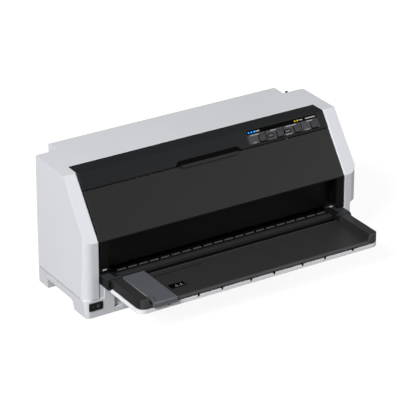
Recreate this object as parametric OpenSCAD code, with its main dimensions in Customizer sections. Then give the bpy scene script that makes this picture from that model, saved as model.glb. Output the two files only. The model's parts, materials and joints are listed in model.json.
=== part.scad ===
/* [Case] */
// Width of the case at the parting line
case_w = 480; // [470:1:500]
// Height of the case above the table
case_h = 206; // [200:1:225]
// Depth of the side cheeks
cheek_d = 148; // [146:1:165]
// How much narrower the rear hood is than the case, on each side
hood_step = 40; // [38:1:50]
// How far the hood stands behind the cheeks
hood_reach = 26; // [15:1:40]
// Height of the hood's lower edge
hood_z = 104; // [100:1:112]
// Height of the parting line between the two case halves
seam_z = 29.5; // [29:0.5:31]
// Reveal left open along the parting line
seam_gap = 0.8; // [0.4:0.1:1.2]
// Wall of the white mouldings
wall = 2.8; // [2.4:0.1:3.2]
// How much each side leans in towards the top
side_taper = 3.5; // [2:0.5:5]
// How much each side leans in towards the feet
foot_taper = 2.3; // [1:0.1:4]
// Radius of the front vertical corners
front_r = 15; // [8:1:18]
// Radius of the base's front corners
base_r = 9; // [4:0.5:14]
// Radius of the rear vertical corners
rear_r = 10; // [4:1:14]
// Width of one cheek beside the band and the cover
cheek_w = 25.4; // [24:0.1:26]

/* [Sloped front] */
// Height at which the sloped front begins
slope_foot_z = 120.75; // [116:0.25:126]
// Depth that the slope covers from its foot to the top
slope_run = 62.3; // [56:0.1:70]

/* [Feet and base] */
// Height of the white feet above the rubber
foot_drop = 1.5; // [1:0.1:2.5]
// Height of the raised underside between the feet
arch_h = 17; // [14:0.5:19]
// Length of a front foot
front_foot_l = 37; // [30:1:42]
// Length of a rear foot
rear_foot_l = 31; // [26:1:36]
// Width of a foot
foot_w = 37.7; // [34:0.1:40]
// Top face of the base floor
floor_z = 13; // [12.5:0.1:13.5]
// Height of the plinth along the front
plinth_h = 8.5; // [7:0.5:10]
// How far the wall above the plinth is set back
recess_in = 6; // [4:0.5:8]
// Width of the pilaster at each end of that wall
pilaster_w = 16.5; // [12:0.5:18]
// Distance from the pilaster to the cheek
pilaster_side = 7.1; // [6:0.1:9]
// Height of the deck that carries the front paper guide
deck_z = 46.2; // [44:0.1:46.4]
// How far back the deck reaches
deck_back = 18; // [16.5:0.5:19]

/* [Control band] */
// Depth of the band's flat top part
band_top = 25.2; // [20:0.2:30]
// Length of the band's part on the slope
band_drop = 28; // [27:0.2:31]
// Thickness of the band and its tongue
band_t = 2.5; // [2.4:0.1:3]
// Gap between the band or cover and the cheeks
side_gap = 0.6; // [0.4:0.1:1]
// Width of the finger notch at the band's edge
notch_w = 116.5; // [90:0.5:130]
// Height of the finger notch
notch_h = 7.2; // [5:0.1:9]
// Distance from the control panel to the right cheek
panel_side = 13.35; // [12:0.05:30]
// Width of the control panel
panel_w = 127.3; // [127:0.1:132]
// Height of the control panel
panel_h = 22; // [21:0.1:23]
// Thickness of the control panel
panel_t = 1.6; // [1.4:0.1:1.8]
// Distance from the band's lower edge to the panel
panel_up = 3.2; // [3:0.1:3.8]
// Side of a button
button_a = 10; // [8:0.1:10.6]
// Spacing of the buttons
button_pitch = 31.3; // [30:0.1:32]
// Travel of a button
button_travel = 0.8; // [0.5:0.1:1]
// Radius of an indicator lamp
lamp_r = 1.2; // [0.9:0.1:1.4]

/* [Front cover] */
// Thickness of the cover
cover_t = 2.5; // [2:0.1:3]
// Gap along the cover's upper edge
cover_gap = 1.2; // [0.8:0.1:1.6]
// Height of the cover's lower edge
cover_foot_z = 69; // [69:0.1:70]
// Depth of the recess in the cover's lower part
recess_d = 16; // [12:0.5:16]
// Width of the narrow strip at each end of the recess
strip_w = 13; // [11:0.5:16]
// Depth of the cover's hinge axis behind the cheek fronts
hinge_y = 4; // [3.6:0.1:4.4]
// Height of the cover's hinge axis
hinge_z = 76; // [75.8:0.1:77]
// Radius of the cover's hinge pins
hinge_r = 3; // [2.5:0.1:3.2]

/* [Tray] */
// How far the tray reaches in front of the cheeks
tray_reach = 102; // [90:1:120]
// How much narrower the tray is than the case opening, on each side
tray_gap = 6.1; // [5:0.1:9.6]
// Gap between the tray's rear edge and the front of the cheeks
tray_back = 16.6; // [14:0.2:17]
// Height of the paper table
table_z = 58; // [57:0.1:58.4]
// Width of each raised arm
arm_w = 18.5; // [14:0.5:19]
// Height of the arms above the table
arm_rise = 9.5; // [8.5:0.1:10]
// Radius of the tray's front corners
tray_r = 12; // [6:0.5:14]
// Underside of the white tray shell
tray_foot_z = 46.5; // [46.4:0.1:47.5]
// Depth of the dark groove between table and shell
groove_d = 4; // [3:0.5:6]
// Width of the black bracket at each rear end
bracket_w = 23.4; // [20:0.1:23.6]
// Top face of the brackets
bracket_z = 66.9; // [66:0.1:67.4]

/* [Edge guide] */
// Width of the sliding edge guide
guide_w = 39; // [32:0.5:46]
// Gap between the edge guide and the left arm at rest
guide_home = 3.5; // [2.5:0.1:6]
// Height of the guide's top above the table
guide_rise = 4; // [3.4:0.1:5]
// How far the guide hooks over in front of the tray
guide_hook = 4; // [3.5:0.1:5]
// How far the guide slides to the right
guide_travel = 80; // [40:1:100]

/* [Paper feed] */
// Height of the paper path
path_z = 65; // [64.8:0.1:65.4]
// Radius of the feed rollers
roller_r = 8; // [7:0.1:8.4]
// Depth of the front feed shaft behind the cheek fronts
front_roller_y = 34; // [33:0.5:36]
// Radius of the feed shafts
shaft_r = 4; // [3:0.1:4.4]
// Width of one feed roller
roller_w = 24; // [18:1:28]
// Distance from the tray's arm to the middle of the last feed roller
roller_side = 29; // [26:0.5:34]
// Number of feed rollers on a shaft
roller_n = 8; // [6:2:8]
// Radius of the pinch rollers
pinch_r = 5; // [4.5:0.1:5.4]
// Gap between feed and pinch rollers
nip = 0.4; // [0.3:0.05:0.6]
// Width of the platen
platen_w = 16; // [14:0.5:18]
// Radius of the paper feed knob
knob_r = 15; // [13:0.1:15.6]
// Depth of the knob's recess in the right side
knob_recess = 14; // [13:0.1:15]

/* [Gears] */
// Tooth module of the feed gears
gear_m = 1.2; // [1.18:0.01:1.22]
// Teeth of the gears on the feed shafts
feed_teeth = 24; // [24:2:24]
// Teeth of the gear between them
idler_teeth = 36; // [36:2:36]
// Teeth of the motor pinion
pinion_teeth = 12; // [12:2:12]
// Side of the feed motor
feed_motor_a = 28; // [24:1:28]
// Width of the gears
gear_w = 5.4; // [4.5:0.1:5.8]
// Backlash of the gears
backlash = 0.25; // [0.2:0.01:0.35]

/* [Chassis] */
// Distance from the case opening's side to the side frame
frame_inset = 10.1; // [9.6:0.1:10.6]
// Depth of the side frames' front edge
frame_front = 22; // [21:0.5:23]
// Distance from the cheeks' rear to the side frames' rear edge
frame_gap = 6; // [5.5:0.5:8]
// Thickness of the sheet steel
sheet_t = 1.5; // [1.2:0.1:1.8]
// Radius of the carriage rod
rod_r = 6; // [5:0.1:6.5]
// Depth of the carriage rod
rod_y = 100; // [99:0.5:101]
// Height of the carriage rod
rod_z = 95; // [94.5:0.5:96]
// Clearance of a part that runs on a shaft
run_fit = 0.06; // [0.03:0.01:0.09]

/* [Carriage] */
// Half width of the carriage
carriage_half = 30; // [26:0.5:32]
// Travel of the carriage to each side
carriage_travel = 160; // [150:1:160]
// Radius of the belt pulleys
pulley_r = 9; // [8:0.1:9.4]
// Thickness of the timing belt
belt_t = 1.2; // [1:0.1:1.4]
// Width of the timing belt
belt_w = 6; // [5:0.1:6.4]
// Side of the carriage motor
drive_motor_a = 28; // [25:1:28]
// Running gap beside the belt
belt_gap = 0.3; // [0.25:0.01:0.4]

/* [Rear] */
// How much narrower the paper entry is than the hood, on each side
entry_step = 10; // [8:1:15]
// Height of the entry's sill
sill_z = 56.5; // [55:0.1:57]
// Depth of the hidden inner parts' front edge
inner_y = 50; // [48:1:54]

/* [Electronics] */
// Width of the power supply
psu_w = 130; // [110:1:135]
// Depth of the power supply
psu_d = 70; // [60:1:72]
// Height of the power supply
psu_h = 34; // [30:0.5:36]
// Wall of the power supply's case
psu_wall = 1.2; // [1:0.1:1.5]
// Distance from the power supply to the side frame
psu_side = 12.5; // [11:0.5:20]
// Distance from the main board to the power supply
board_gap = 17; // [10:0.5:25]
// Distance from the main board to the left side frame
board_side = 54.5; // [40:0.5:60]
// Thickness of the circuit boards
board_t = 1.6; // [1.2:0.1:1.7]
// Height of the main board above the base floor
board_lift = 2; // [2:0.1:2.4]
// Distance from the mains inlet to the right side frame
inlet_side = 44.5; // [40:0.5:50]

/* [Hidden] */

$fn = 64;
eps = 0.01;
// Clearance of pieces that are pressed together in one body
press_fit = 0.02;
// Half width of the chamfer round the case opening
edge_cut = 1.4;
// Clearance between neighbours that are fitted but do not slide
seat_gap = 0.3;

half_w = case_w / 2;
opening_w = case_w - 2 * cheek_w;
open_half = opening_w / 2;
hood_w = case_w - 2 * hood_step;
entry_w = hood_w - 2 * entry_step;
tray_w = opening_w - 2 * tray_gap;
pilaster_out = open_half - pilaster_side;
pilaster_in = pilaster_out - pilaster_w;
frame_half = open_half - frame_inset;
panel_x = open_half - panel_side - panel_w / 2;
rear_y = cheek_d + hood_reach;
row_shift = (tray_reach + guide_hook - rear_y) / 2;
slope_rise = case_h - slope_foot_z;
slope_a = atan2(slope_rise, slope_run);
slope_len = norm([slope_run, slope_rise]);
band_edge = slope_len - band_drop;
cover_half = open_half - side_gap - 0.6;
recess_half = cover_half - strip_w;
tray_half = tray_w / 2;
arm_in = tray_half - arm_w;
tray_rear = -tray_back;
// Depth at which the arms end and the brackets begin
arm_end = tray_rear - 5.4;
roller_pitch = 2 * (arm_in - roller_side) / (roller_n - 1);
roller_z = path_z - roller_r;
pinch_z = path_z + nip + pinch_r;
rear_roller_y = front_roller_y + gear_m * (feed_teeth + idler_teeth);
platen_y = (front_roller_y + rear_roller_y) / 2;
pinion_d = gear_m * (idler_teeth + pinion_teeth) / 2;
// Direction from the middle gear to the pinion, a whole number of tooth pitches
pinion_a = 50;
pinion_turn = 180 - pinion_a + 180 / pinion_teeth;
pinion_y = platen_y + pinion_d * cos(pinion_a);
pinion_z = roller_z - pinion_d * sin(pinion_a);
gear_x = -frame_half - sheet_t - 0.7;
frame_out = frame_half + sheet_t;
knob_in = half_w - knob_recess;
belt_z = rod_z - 5;
pulley_y = rod_y + 24;
drive_x = frame_half - drive_motor_a / 2 - 3.5;
idler_x = -frame_half + pulley_r + 2.5;
plate_z = belt_z + 8;
// Radius of the flange beside a pulley's belt
flange_r = pulley_r + 2;
// Radius of the motor shafts and of the idler's pin
motor_pin = 2.5;

// ---- helpers -------------------------------------------------------------

// Moves a piece from the cheek-front frame to the centre of the footprint
module placed() translate([0, row_shift, 0]) children();

// Box given by its two corners
module box(x0, x1, y0, y1, z0, z1)
    translate([x0, y0, z0]) cube([x1 - x0, y1 - y0, z1 - z0]);

// Side-view outline (depth, height) drawn out along the width
module across(x0, x1)
    translate([x0, 0, 0]) rotate([90, 0, 90]) linear_extrude(x1 - x0) children();

// Front-view outline (width, height) drawn out along the depth
module along(y0, y1)
    translate([0, y1, 0]) rotate([90, 0, 0]) linear_extrude(y1 - y0) children();

// Rod that lies along the width
module rod_x(x0, x1, y, z, r)
    translate([x0, y, z]) rotate([0, 90, 0]) cylinder(r = r, h = x1 - x0);

// Rod that lies along the depth
module rod_y(x, y0, y1, z, r)
    translate([x, y1, z]) rotate([90, 0, 0]) cylinder(r = r, h = y1 - y0);

// Upright rod
module rod_z(x, y, z0, z1, r)
    translate([x, y, z0]) cylinder(r = r, h = z1 - z0);

// Frame on the sloped front: width, distance up the slope, distance off its face
module on_slope(x, s)
    translate([x, s * cos(slope_a), slope_foot_z + s * sin(slope_a)])
        rotate([slope_a, 0, 0]) children();

// Rectangle with four round corners
module round_rect(w, h, r) {
    translate([-w / 2 + r, -h / 2]) square([w - 2 * r, h]);
    translate([-w / 2, -h / 2 + r]) square([w, h - 2 * r]);
    for (sx = [-1, 1], sy = [-1, 1])
        translate([sx * (w / 2 - r), sy * (h / 2 - r)]) circle(r);
}

// Plan outline with its own radius at the front and rear corners
module plan(half, y0, y1, rf, rr) {
    translate([-half + rf, y0]) square([2 * (half - rf), rf]);
    translate([-half, y0 + rf]) square([2 * half, y1 - y0 - rf - rr]);
    translate([-half + rr, y1 - rr]) square([2 * (half - rr), rr]);
    for (side = [-1, 1]) {
        translate([side * (half - rf), y0 + rf]) circle(rf);
        translate([side * (half - rr), y1 - rr]) circle(rr);
    }
}

// Involute gear outline with a tooth on the first axis
function gear_inv(a) = tan(a) - a * PI / 180;
function flank(r, teeth) =
    let (rb = gear_m * teeth / 2 * cos(20))
    let (a = r > rb ? acos(rb / r) : 0)
    90 / teeth + (gear_inv(20) - gear_inv(a)) * 180 / PI
        - backlash / 2 / (gear_m * teeth / 2) * 180 / PI;
module gear_outline(teeth) {
    rp = gear_m * teeth / 2;
    radii = [rp - 1.2 * gear_m, rp - 0.5 * gear_m, rp, rp + 0.5 * gear_m, rp + 0.9 * gear_m];
    polygon([for (i = [0 : teeth - 1])
        each concat(
            [for (k = [0 : 4]) radii[k] * [cos(i * 360 / teeth - flank(radii[k], teeth)),
                sin(i * 360 / teeth - flank(radii[k], teeth))]],
            [for (k = [4 : -1 : 0]) radii[k] * [cos(i * 360 / teeth + flank(radii[k], teeth)),
                sin(i * 360 / teeth + flank(radii[k], teeth))]])]);
}

// Gear on a shaft along the width, turned so that it meshes at rest
module feed_gear(teeth, y, z, turn, bore, holes)
    translate([gear_x - gear_w, y, z]) rotate([90, 0, 90]) rotate(turn)
        difference() {
            linear_extrude(gear_w) gear_outline(teeth);
            translate([0, 0, -eps]) cylinder(r = bore, h = gear_w + 2 * eps);
            for (i = [0 : holes - 1])
                rotate((i + 0.5) * 360 / holes)
                    translate([gear_m * teeth * 0.3, 0, -eps])
                        cylinder(r = gear_m * teeth * 0.09, h = gear_w + 2 * eps);
        }

// ---- case ----------------------------------------------------------------

// Slope, shifted inwards by a wall
function slope_y(z, w) = (z - slope_foot_z) / tan(slope_a) + w / sin(slope_a);
function foot_z(w) = slope_foot_z + (w - w / sin(slope_a)) * tan(slope_a);

// Side view of the upper case, shrunk by a wall
module case_side(w, z0, back)
    polygon([[w, z0], [w, foot_z(w)], [slope_y(case_h - w, w), case_h - w],
        [back - w, case_h - w], [back - w, z0]]);

// Upper case as one solid, shrunk by a wall
module case_body(w, z0)
    intersection() {
        union() {
            translate([0, 0, z0]) linear_extrude(case_h)
                plan(half_w - w, w, cheek_d - w, front_r - w, rear_r - w);
            box(-hood_w / 2 + w, hood_w / 2 - w, cheek_d - wall - 1, rear_y - w,
                w > 0 ? hood_z - 1 : hood_z, case_h);
        }
        across(-half_w, half_w) case_side(w, z0, rear_y);
        along(-1, rear_y + 1)
            polygon([[-half_w + w, z0], [half_w - w, z0],
                [half_w - w, seam_z],
                [half_w - side_taper - w, case_h + eps], [-half_w + side_taper + w, case_h + eps],
                [-half_w + w, seam_z]]);
    }

// Finger room round the feed knob in the right cheek
knob_lo = roller_z - knob_r - 6;
knob_hi = path_z + 9;
knob_back = front_roller_y + knob_r + 15;
// Radius of the cove under the recess's roof
cove_r = 4;
module knob_space(grow)
    difference() {
        box(knob_in - grow, half_w + 1, -1, knob_back + grow, knob_lo - grow, knob_hi + grow);
        if (grow == 0)
            difference() {
                box(knob_in - 1, knob_in + cove_r, -2, knob_back + 2, knob_hi - cove_r, knob_hi + 1);
                rod_y(knob_in + cove_r, -3, knob_back + 3, knob_hi - cove_r, cove_r);
            }
    }

// Lining of the recess, set into the opening of the cheek from inside
module knob_well() placed() color("gainsboro")
    difference() {
        intersection() {
            case_body(wall + press_fit, seam_z + seam_gap + 1);
            knob_space(wall);
        }
        knob_space(0);
        rod_x(knob_in - wall - 1, knob_in + 1, front_roller_y, roller_z, shaft_r + 1.5);
    }

module vent_slots(x0, count, z0, h)
    for (i = [0 : count - 1])
        box(x0 + i * 6, x0 + i * 6 + 2.6, cheek_d - wall - 1, cheek_d + 1, z0, z0 + h);

module upper_case() placed() color("gainsboro")
    difference() {
        union() {
            difference() {
                case_body(0, seam_z + seam_gap / 2);
                case_body(wall, seam_z - 1);
            }
            intersection() {
                case_body(0, seam_z + seam_gap / 2);
                union() {
                    for (side = [-1, 1])
                        mirror([side < 0 ? 1 : 0, 0, 0])
                            across(open_half, open_half + band_t)
                                polygon([[0, seam_z], [0, case_h], [slope_run + band_top + 20, case_h],
                                    [slope_run + band_top + 20, 118], [26, seam_z]]);
                    for (side = [-1, 1])
                        box(side * (entry_w / 2 + 3.4) - 3, side * (entry_w / 2 + 3.4) + 3,
                            cheek_d - 7, cheek_d - 1, sill_z - 3, sill_z + 10);
                }
            }
        }
        // room for the band and the front cover, its edges chamfered
        box(-open_half, open_half, -1, band_end, seam_z - 1, case_h + 1);
        for (side = [-1, 1]) {
            translate([side * open_half, 0, seam_z - 1]) rotate(45)
                translate([-edge_cut, -edge_cut, 0]) cube([2 * edge_cut, 2 * edge_cut, slope_foot_z]);
            on_slope(side * open_half, -20) rotate([0, 45, 0])
                translate([-edge_cut, 0, -edge_cut]) cube([2 * edge_cut, slope_len + 40, 2 * edge_cut]);
        }
        translate([-open_half, band_end, case_h]) rotate([45, 0, 0])
            translate([0, -edge_cut / 2, -edge_cut / 2]) cube([opening_w, edge_cut, edge_cut]);
        knob_space(0);
        rod_x(open_half - 1, open_half + band_t + 1, front_roller_y, roller_z, shaft_r + 1.5);
        rod_x(-open_half - band_t - 1, open_half + band_t + 1, hinge_y, hinge_z, hinge_r + run_fit);
        // rear paper entry with the pivots of its cover
        box(-entry_w / 2, entry_w / 2, cheek_d - 12, cheek_d + 1, sill_z, hood_z + 1);
        rod_x(-entry_w / 2 - 5.4, entry_w / 2 + 5.4, cover2_y, cover2_z, flap_pin + run_fit);
        vent_slots(psu_x0 - 2, 10, seam_z + 5, 16);
        // mains inlet
        box(inlet_x - 14, inlet_x + 14, cheek_d - wall - 1, cheek_d + 1, inlet_z - 10.2, inlet_z + 10.2);
        // slot of the release lever
        box(lever_x - 1, lever_x + 5, cheek_d - wall - 1, cheek_d + 1, lever_z - 16, lever_z + 14);
    }

// Lower case: a pan with four feet, a plinth and pilasters below the tray
module lower_case() placed() color("gainsboro") {
    top = seam_z - seam_gap / 2;
    pilaster_top = shell_top - seat_gap;
    difference() {
        union() {
            intersection() {
                translate([0, 0, foot_drop]) linear_extrude(seam_z)
                    plan(half_w, 0, cheek_d, base_r, rear_r);
                along(-1, cheek_d + 1)
                    polygon([[-half_w + foot_taper, 0], [half_w - foot_taper, 0], [half_w, top],
                        [-half_w, top]]);
            }
            // inner half of the rim carries the upper case
            translate([0, 0, floor_z]) linear_extrude(top + seam_gap - floor_z)
                plan(half_w - wall / 2, wall / 2, cheek_d - wall / 2, base_r, rear_r - 1);
        }
        // hollow of the pan, deeper over the feet
        translate([0, 0, pan_z]) linear_extrude(seam_z)
            plan(half_w - wall, wall, cheek_d - wall, base_r - wall, rear_r - wall);
        box(-half_w + foot_w + 1, half_w - foot_w - 1, recess_in + wall, cheek_d - wall, floor_z,
            seam_z + 1);
        for (side = [-1, 1])
            mirror([side < 0 ? 1 : 0, 0, 0]) {
                box(half_w - foot_w + wall, half_w - wall - foot_taper, wall, front_foot_l - wall,
                    foot_drop + wall, seam_z);
                box(half_w - foot_w + wall, half_w - wall - foot_taper, cheek_d - rear_foot_l + wall,
                    cheek_d - wall, foot_drop + wall, seam_z);
                // room inside the pilaster
                box(pilaster_in + wall, half_w - foot_w - 1, wall, cheek_d - wall, floor_z, seam_z);
                // raised underside between the feet
                across(half_w - foot_w, half_w + 1)
                    polygon([[front_foot_l, -1], [front_foot_l + 3, arch_h - 3],
                        [front_foot_l + 7, arch_h - 0.6], [front_foot_l + 12, arch_h],
                        [cheek_d - rear_foot_l, arch_h], [cheek_d - rear_foot_l, -1]]);
            }
        // underside of the middle, behind the plinth
        box(-half_w + foot_w, half_w - foot_w, wall, cheek_d + 1, -1, floor_z - wall);
        // recess above the plinth
        box(-pilaster_in, pilaster_in, -1, recess_in, plinth_h, seam_z + 1);
        // power switch
        translate([switch_x, 0, switch_z]) box(-10.1, 10.1, -1, wall + 1, -5.8, 5.8);
        // interface sockets in the rear wall
        for (p = [[port_x, port_w / 2 + 1], [usb_x, usb_w / 2 + 0.6]])
            box(p[0] - p[1], p[0] + p[1], cheek_d - wall - 1, cheek_d + 1, board_z + 1,
                board_z + board_t + port_h + 0.4);
    }
    // ledge, set-back wall and deck
    across(-pilaster_in - eps, pilaster_in + eps)
        polygon([[wall - eps, plinth_h - wall], [wall - eps, plinth_h], [recess_in, plinth_h],
            [recess_in, deck_z], [deck_back, deck_z], [deck_back, deck_z - wall],
            [recess_in + wall, deck_z - wall], [recess_in + wall, plinth_h - wall]]);
    for (side = [-1, 1])
        mirror([side < 0 ? 1 : 0, 0, 0]) {
            // pilaster under the tray's bracket, open to the rear
            difference() {
                box(pilaster_in, pilaster_out, 0, recess_in + wall, floor_z, pilaster_top);
                box(pilaster_in + wall, pilaster_out - wall, wall, recess_in + wall + 1, floor_z - 1,
                    pilaster_top - wall);
            }
            // wall between the pilaster and the cheek
            box(pilaster_out - eps, open_half - seat_gap, 1, 1 + wall, top - wall, pilaster_top);
        }
    // bosses below the main board
    for (x = board_holes_x, y = board_holes_y)
        rod_z(x, y, floor_z - eps, board_z, 4);
    // bosses below the tabs of the side frames
    for (side = [-1, 1], t = tab_y)
        rod_z(side * (frame_half - tab_w / 2), (t[0] + t[1]) / 2, floor_z - eps, pan_z, 4);
}

module rubber_feet() placed() color("dimgray")
    for (side = [-1, 1], y = [front_foot_l / 2 + 1, cheek_d - rear_foot_l / 2])
        translate([side * (half_w - foot_w / 2 - 1), y, 0])
            rotate_extrude() polygon([[0, 0], [9, 0], [10, 0.8], [10, foot_drop], [0, foot_drop]]);

// ---- control band --------------------------------------------------------

band_end = slope_run + band_top;
tongue_z = case_h - wall - seat_gap;
panel_s = band_edge + panel_up + panel_h / 2;
segment_w = panel_w / 4;

// Side view of the band: flat on top, then down the slope
module band_side(t0, t1, s0) {
    a0 = [s0 * cos(slope_a) + t0 * sin(slope_a), slope_foot_z + s0 * sin(slope_a) - t0 * cos(slope_a)];
    a1 = [s0 * cos(slope_a) + t1 * sin(slope_a), slope_foot_z + s0 * sin(slope_a) - t1 * cos(slope_a)];
    polygon([a0, [slope_y(case_h - t0, t0), case_h - t0], [slope_run + band_top, case_h - t0],
        [slope_run + band_top, case_h - t1], [slope_y(case_h - t1, t1), case_h - t1], a1]);
}

module notch_cut()
    translate([0, 0, -2]) linear_extrude(10)
        polygon([[-notch_w / 2, -eps], [notch_w / 2, -eps], [notch_w / 2 - notch_h, notch_h],
            [-notch_w / 2 + notch_h, notch_h]]);

module control_bezel() placed() color("#2b2d2e") {
    half = open_half - side_gap;
    difference() {
        union() {
            across(-half, half) band_side(0, band_t, band_edge);
            // stepped tongue below the edge of the case top
            across(-half + 4, half - 4)
                polygon([[band_end - 5, case_h - band_t + eps], [band_end - 5, tongue_z - band_t],
                    [band_end + 8, tongue_z - band_t], [band_end + 8, tongue_z],
                    [band_end, tongue_z], [band_end, case_h - band_t + eps]]);
            // floor of the finger notch
            on_slope(0, band_edge) translate([-notch_w / 2 - 3, 0, -band_t - 2.5])
                cube([notch_w + 6, notch_h + 3, 3]);
            // frame behind the panel window
            on_slope(panel_x, panel_s) translate([0, 0, -band_t - 1.2]) linear_extrude(2)
                round_rect(panel_w + 5, panel_h + 5, 2);
        }
        on_slope(0, band_edge) notch_cut();
        on_slope(panel_x, panel_s) {
            translate([0, 0, -panel_t]) linear_extrude(10) round_rect(panel_w, panel_h, 1.5);
            translate([0, 0, -10]) linear_extrude(20) round_rect(panel_w - 4, panel_h - 2.4, 1);
        }
    }
}

function button_u(i) = (i - 1.5) * button_pitch + segment_w / 2 - button_a / 2 - 3;
button_v = -panel_h / 2 + button_a / 2 + 1.6;
blue_u = [-panel_w / 2 + 4, -panel_w / 2 + 9, -panel_w / 2 + 14];
yellow_u = [panel_w / 2 - 40, panel_w / 2 - 35.5];
lamp_v = panel_h / 2 - 3.2;
// Top face of the small board below the panel
board_drop = -7;

module control_panel() placed() color("#3a3b3d") on_slope(panel_x, panel_s)
    difference() {
        union() {
            translate([0, 0, -panel_t]) linear_extrude(panel_t - 0.3)
                round_rect(panel_w - 0.4, panel_h - 0.4, 1.4);
            // one raised field for each button
            for (i = [0 : 3])
                translate([(i - 1.5) * segment_w, -3, -0.5]) linear_extrude(0.5)
                    round_rect(segment_w - 1.4, panel_h - 7, 0.8);
            // posts for the board
            for (i = [0, 3], v = [-6, 3])
                translate([button_u(i) - 12, v, board_drop]) cylinder(r = 1.5, h = -board_drop - 1);
        }
        for (i = [0 : 3])
            translate([button_u(i), button_v, -5]) linear_extrude(10)
                round_rect(button_a + 2 * seat_gap, button_a + 2 * seat_gap, 2);
        for (u = concat(blue_u, yellow_u))
            translate([u, lamp_v, -5]) cylinder(r = lamp_r + 0.1, h = 10);
    }

module panel_board() placed() color("darkgreen") on_slope(panel_x, panel_s) {
    translate([0, 0, board_drop - board_t]) linear_extrude(board_t)
        round_rect(panel_w - 6, panel_h - 4.4, 1);
    for (i = [0 : 3])
        translate([button_u(i), button_v, board_drop]) {
            linear_extrude(1.6) round_rect(6, 6, 0.8);
            cylinder(r = 1.7, h = 2);
        }
}

// Cap of one button with the stem that reaches its switch
module button(i) placed() color("#4a4b4d") on_slope(panel_x, panel_s)
    translate([button_u(i), button_v, 0]) {
        translate([0, 0, -2]) linear_extrude(2.9) round_rect(button_a, button_a, 1.8);
        translate([0, 0, 0.9]) linear_extrude(0.5) round_rect(button_a - 1.2, button_a - 1.2, 1.4);
        translate([0, 0, board_drop + 2 + button_travel + seat_gap]) cylinder(r = 2, h = 4);
    }
module pause_button() button(0);
module tear_button() button(1);
module feed_button() button(2);
module load_button() button(3);

module lamps(places) on_slope(panel_x, panel_s)
    for (u = places)
        translate([u, lamp_v, board_drop]) {
            cylinder(r = lamp_r, h = 0.1 - board_drop);
            cylinder(r = lamp_r + 0.5, h = 2);
        }
module blue_lamps() placed() color("deepskyblue") lamps(blue_u);
module yellow_lamps() placed() color("gold") lamps(yellow_u);

// ---- power switch --------------------------------------------------------

switch_x = -half_w + 17.5;
switch_z = 19.2;
switch_w = 22.6;
rocker_y = 2.5;
rocker_r = 8.7;
rocker_pin = 1.2;
rocker_tilt = 8;

module power_switch() placed() color("#202122") translate([switch_x, 0, switch_z])
    difference() {
        union() {
            along(-0.8, 0) round_rect(switch_w, 12.6, 1.2);
            along(0, 15) round_rect(19.8, 11.2, 0.6);
            for (x = [-6, 0, 6]) box(x - 2.4, x + 2.4, 15, 21, -0.4, 0.4);
        }
        along(-2, rocker_y + 7) square([18, 9.4], center = true);
        rod_z(0, rocker_y, -5.3, 5.3, rocker_pin + run_fit);
    }

module power_rocker() placed() color("#161718")
    translate([switch_x, rocker_y, switch_z]) rotate([0, 0, -rocker_tilt]) {
        translate([0, 0, -4.5]) linear_extrude(9)
            difference() {
                circle(rocker_r);
                polygon([[-12, -3.2], [-8.1, -3.2], [0, -1.6], [8.1, -3.2], [12, -3.2], [12, -12],
                    [-12, -12]]);
                translate([-12, 2.6]) square([24, 12]);
            }
        translate([0, 0, -5.1]) cylinder(r = rocker_pin, h = 10.2);
    }

// ---- front cover ---------------------------------------------------------

// Side view of the cover's sloped panel with its lower return
module cover_slope() {
    s1 = band_edge - cover_gap;
    t = cover_t;
    top_out = [s1 * cos(slope_a), slope_foot_z + s1 * sin(slope_a)];
    top_in = top_out + t * [sin(slope_a), -cos(slope_a)];
    polygon([[0, slope_foot_z], top_out, top_in,
        [slope_y(slope_foot_z, t), slope_foot_z], [slope_y(slope_foot_z, t), slope_foot_z - t],
        [0, slope_foot_z - t]]);
}

module front_cover() placed() color("#333435") {
    across(-cover_half, cover_half) cover_slope();
    // recessed lower face with the shelf above it
    across(-recess_half - cover_t, recess_half + cover_t)
        polygon([[0, slope_foot_z], [recess_d + cover_t, slope_foot_z],
            [recess_d + cover_t, cover_foot_z], [recess_d, cover_foot_z],
            [recess_d, slope_foot_z - cover_t], [0, slope_foot_z - cover_t]]);
    for (side = [-1, 1])
        mirror([side < 0 ? 1 : 0, 0, 0]) {
            // narrow strip, its return into the recess and the end wall
            across(recess_half, cover_half)
                polygon([[0, slope_foot_z], [cover_t, slope_foot_z], [cover_t, cover_foot_z],
                    [0, cover_foot_z]]);
            across(recess_half, recess_half + cover_t)
                polygon([[0, slope_foot_z], [recess_d + cover_t, slope_foot_z],
                    [recess_d + cover_t, cover_foot_z], [0, cover_foot_z]]);
            across(cover_half - cover_t, cover_half)
                polygon([[0, cover_foot_z], [0, slope_foot_z],
                    [(band_edge - cover_gap) * cos(slope_a),
                        slope_foot_z + (band_edge - cover_gap) * sin(slope_a)],
                    [(band_edge - cover_gap) * cos(slope_a) + 8,
                        slope_foot_z + (band_edge - cover_gap) * sin(slope_a) - 6],
                    [12, slope_foot_z - 4], [12, cover_foot_z + 3], [9, cover_foot_z]]);
            rod_x(cover_half - 4, open_half + band_t - 0.2, hinge_y, hinge_z, hinge_r);
        }
    // finger lip along the upper edge
    on_slope(0, band_edge - cover_gap) translate([0, 0, -1.2]) linear_extrude(4)
        polygon([[-notch_w / 2 + 7, 1], [notch_w / 2 - 7, 1], [notch_w / 2 - 11, -4],
            [-notch_w / 2 + 11, -4]]);
}

// ---- rear cover ----------------------------------------------------------

cover2_y = cheek_d - 3.5;
cover2_z = sill_z + 4.5;
flap_pin = 1.6;
// Width of its grip
grip_w = 60;
// Front edge and spacing of the ribs inside the cover
rib_y = cheek_d - wall - 3.5;
rib_pitch = entry_w / 6.4;

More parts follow.
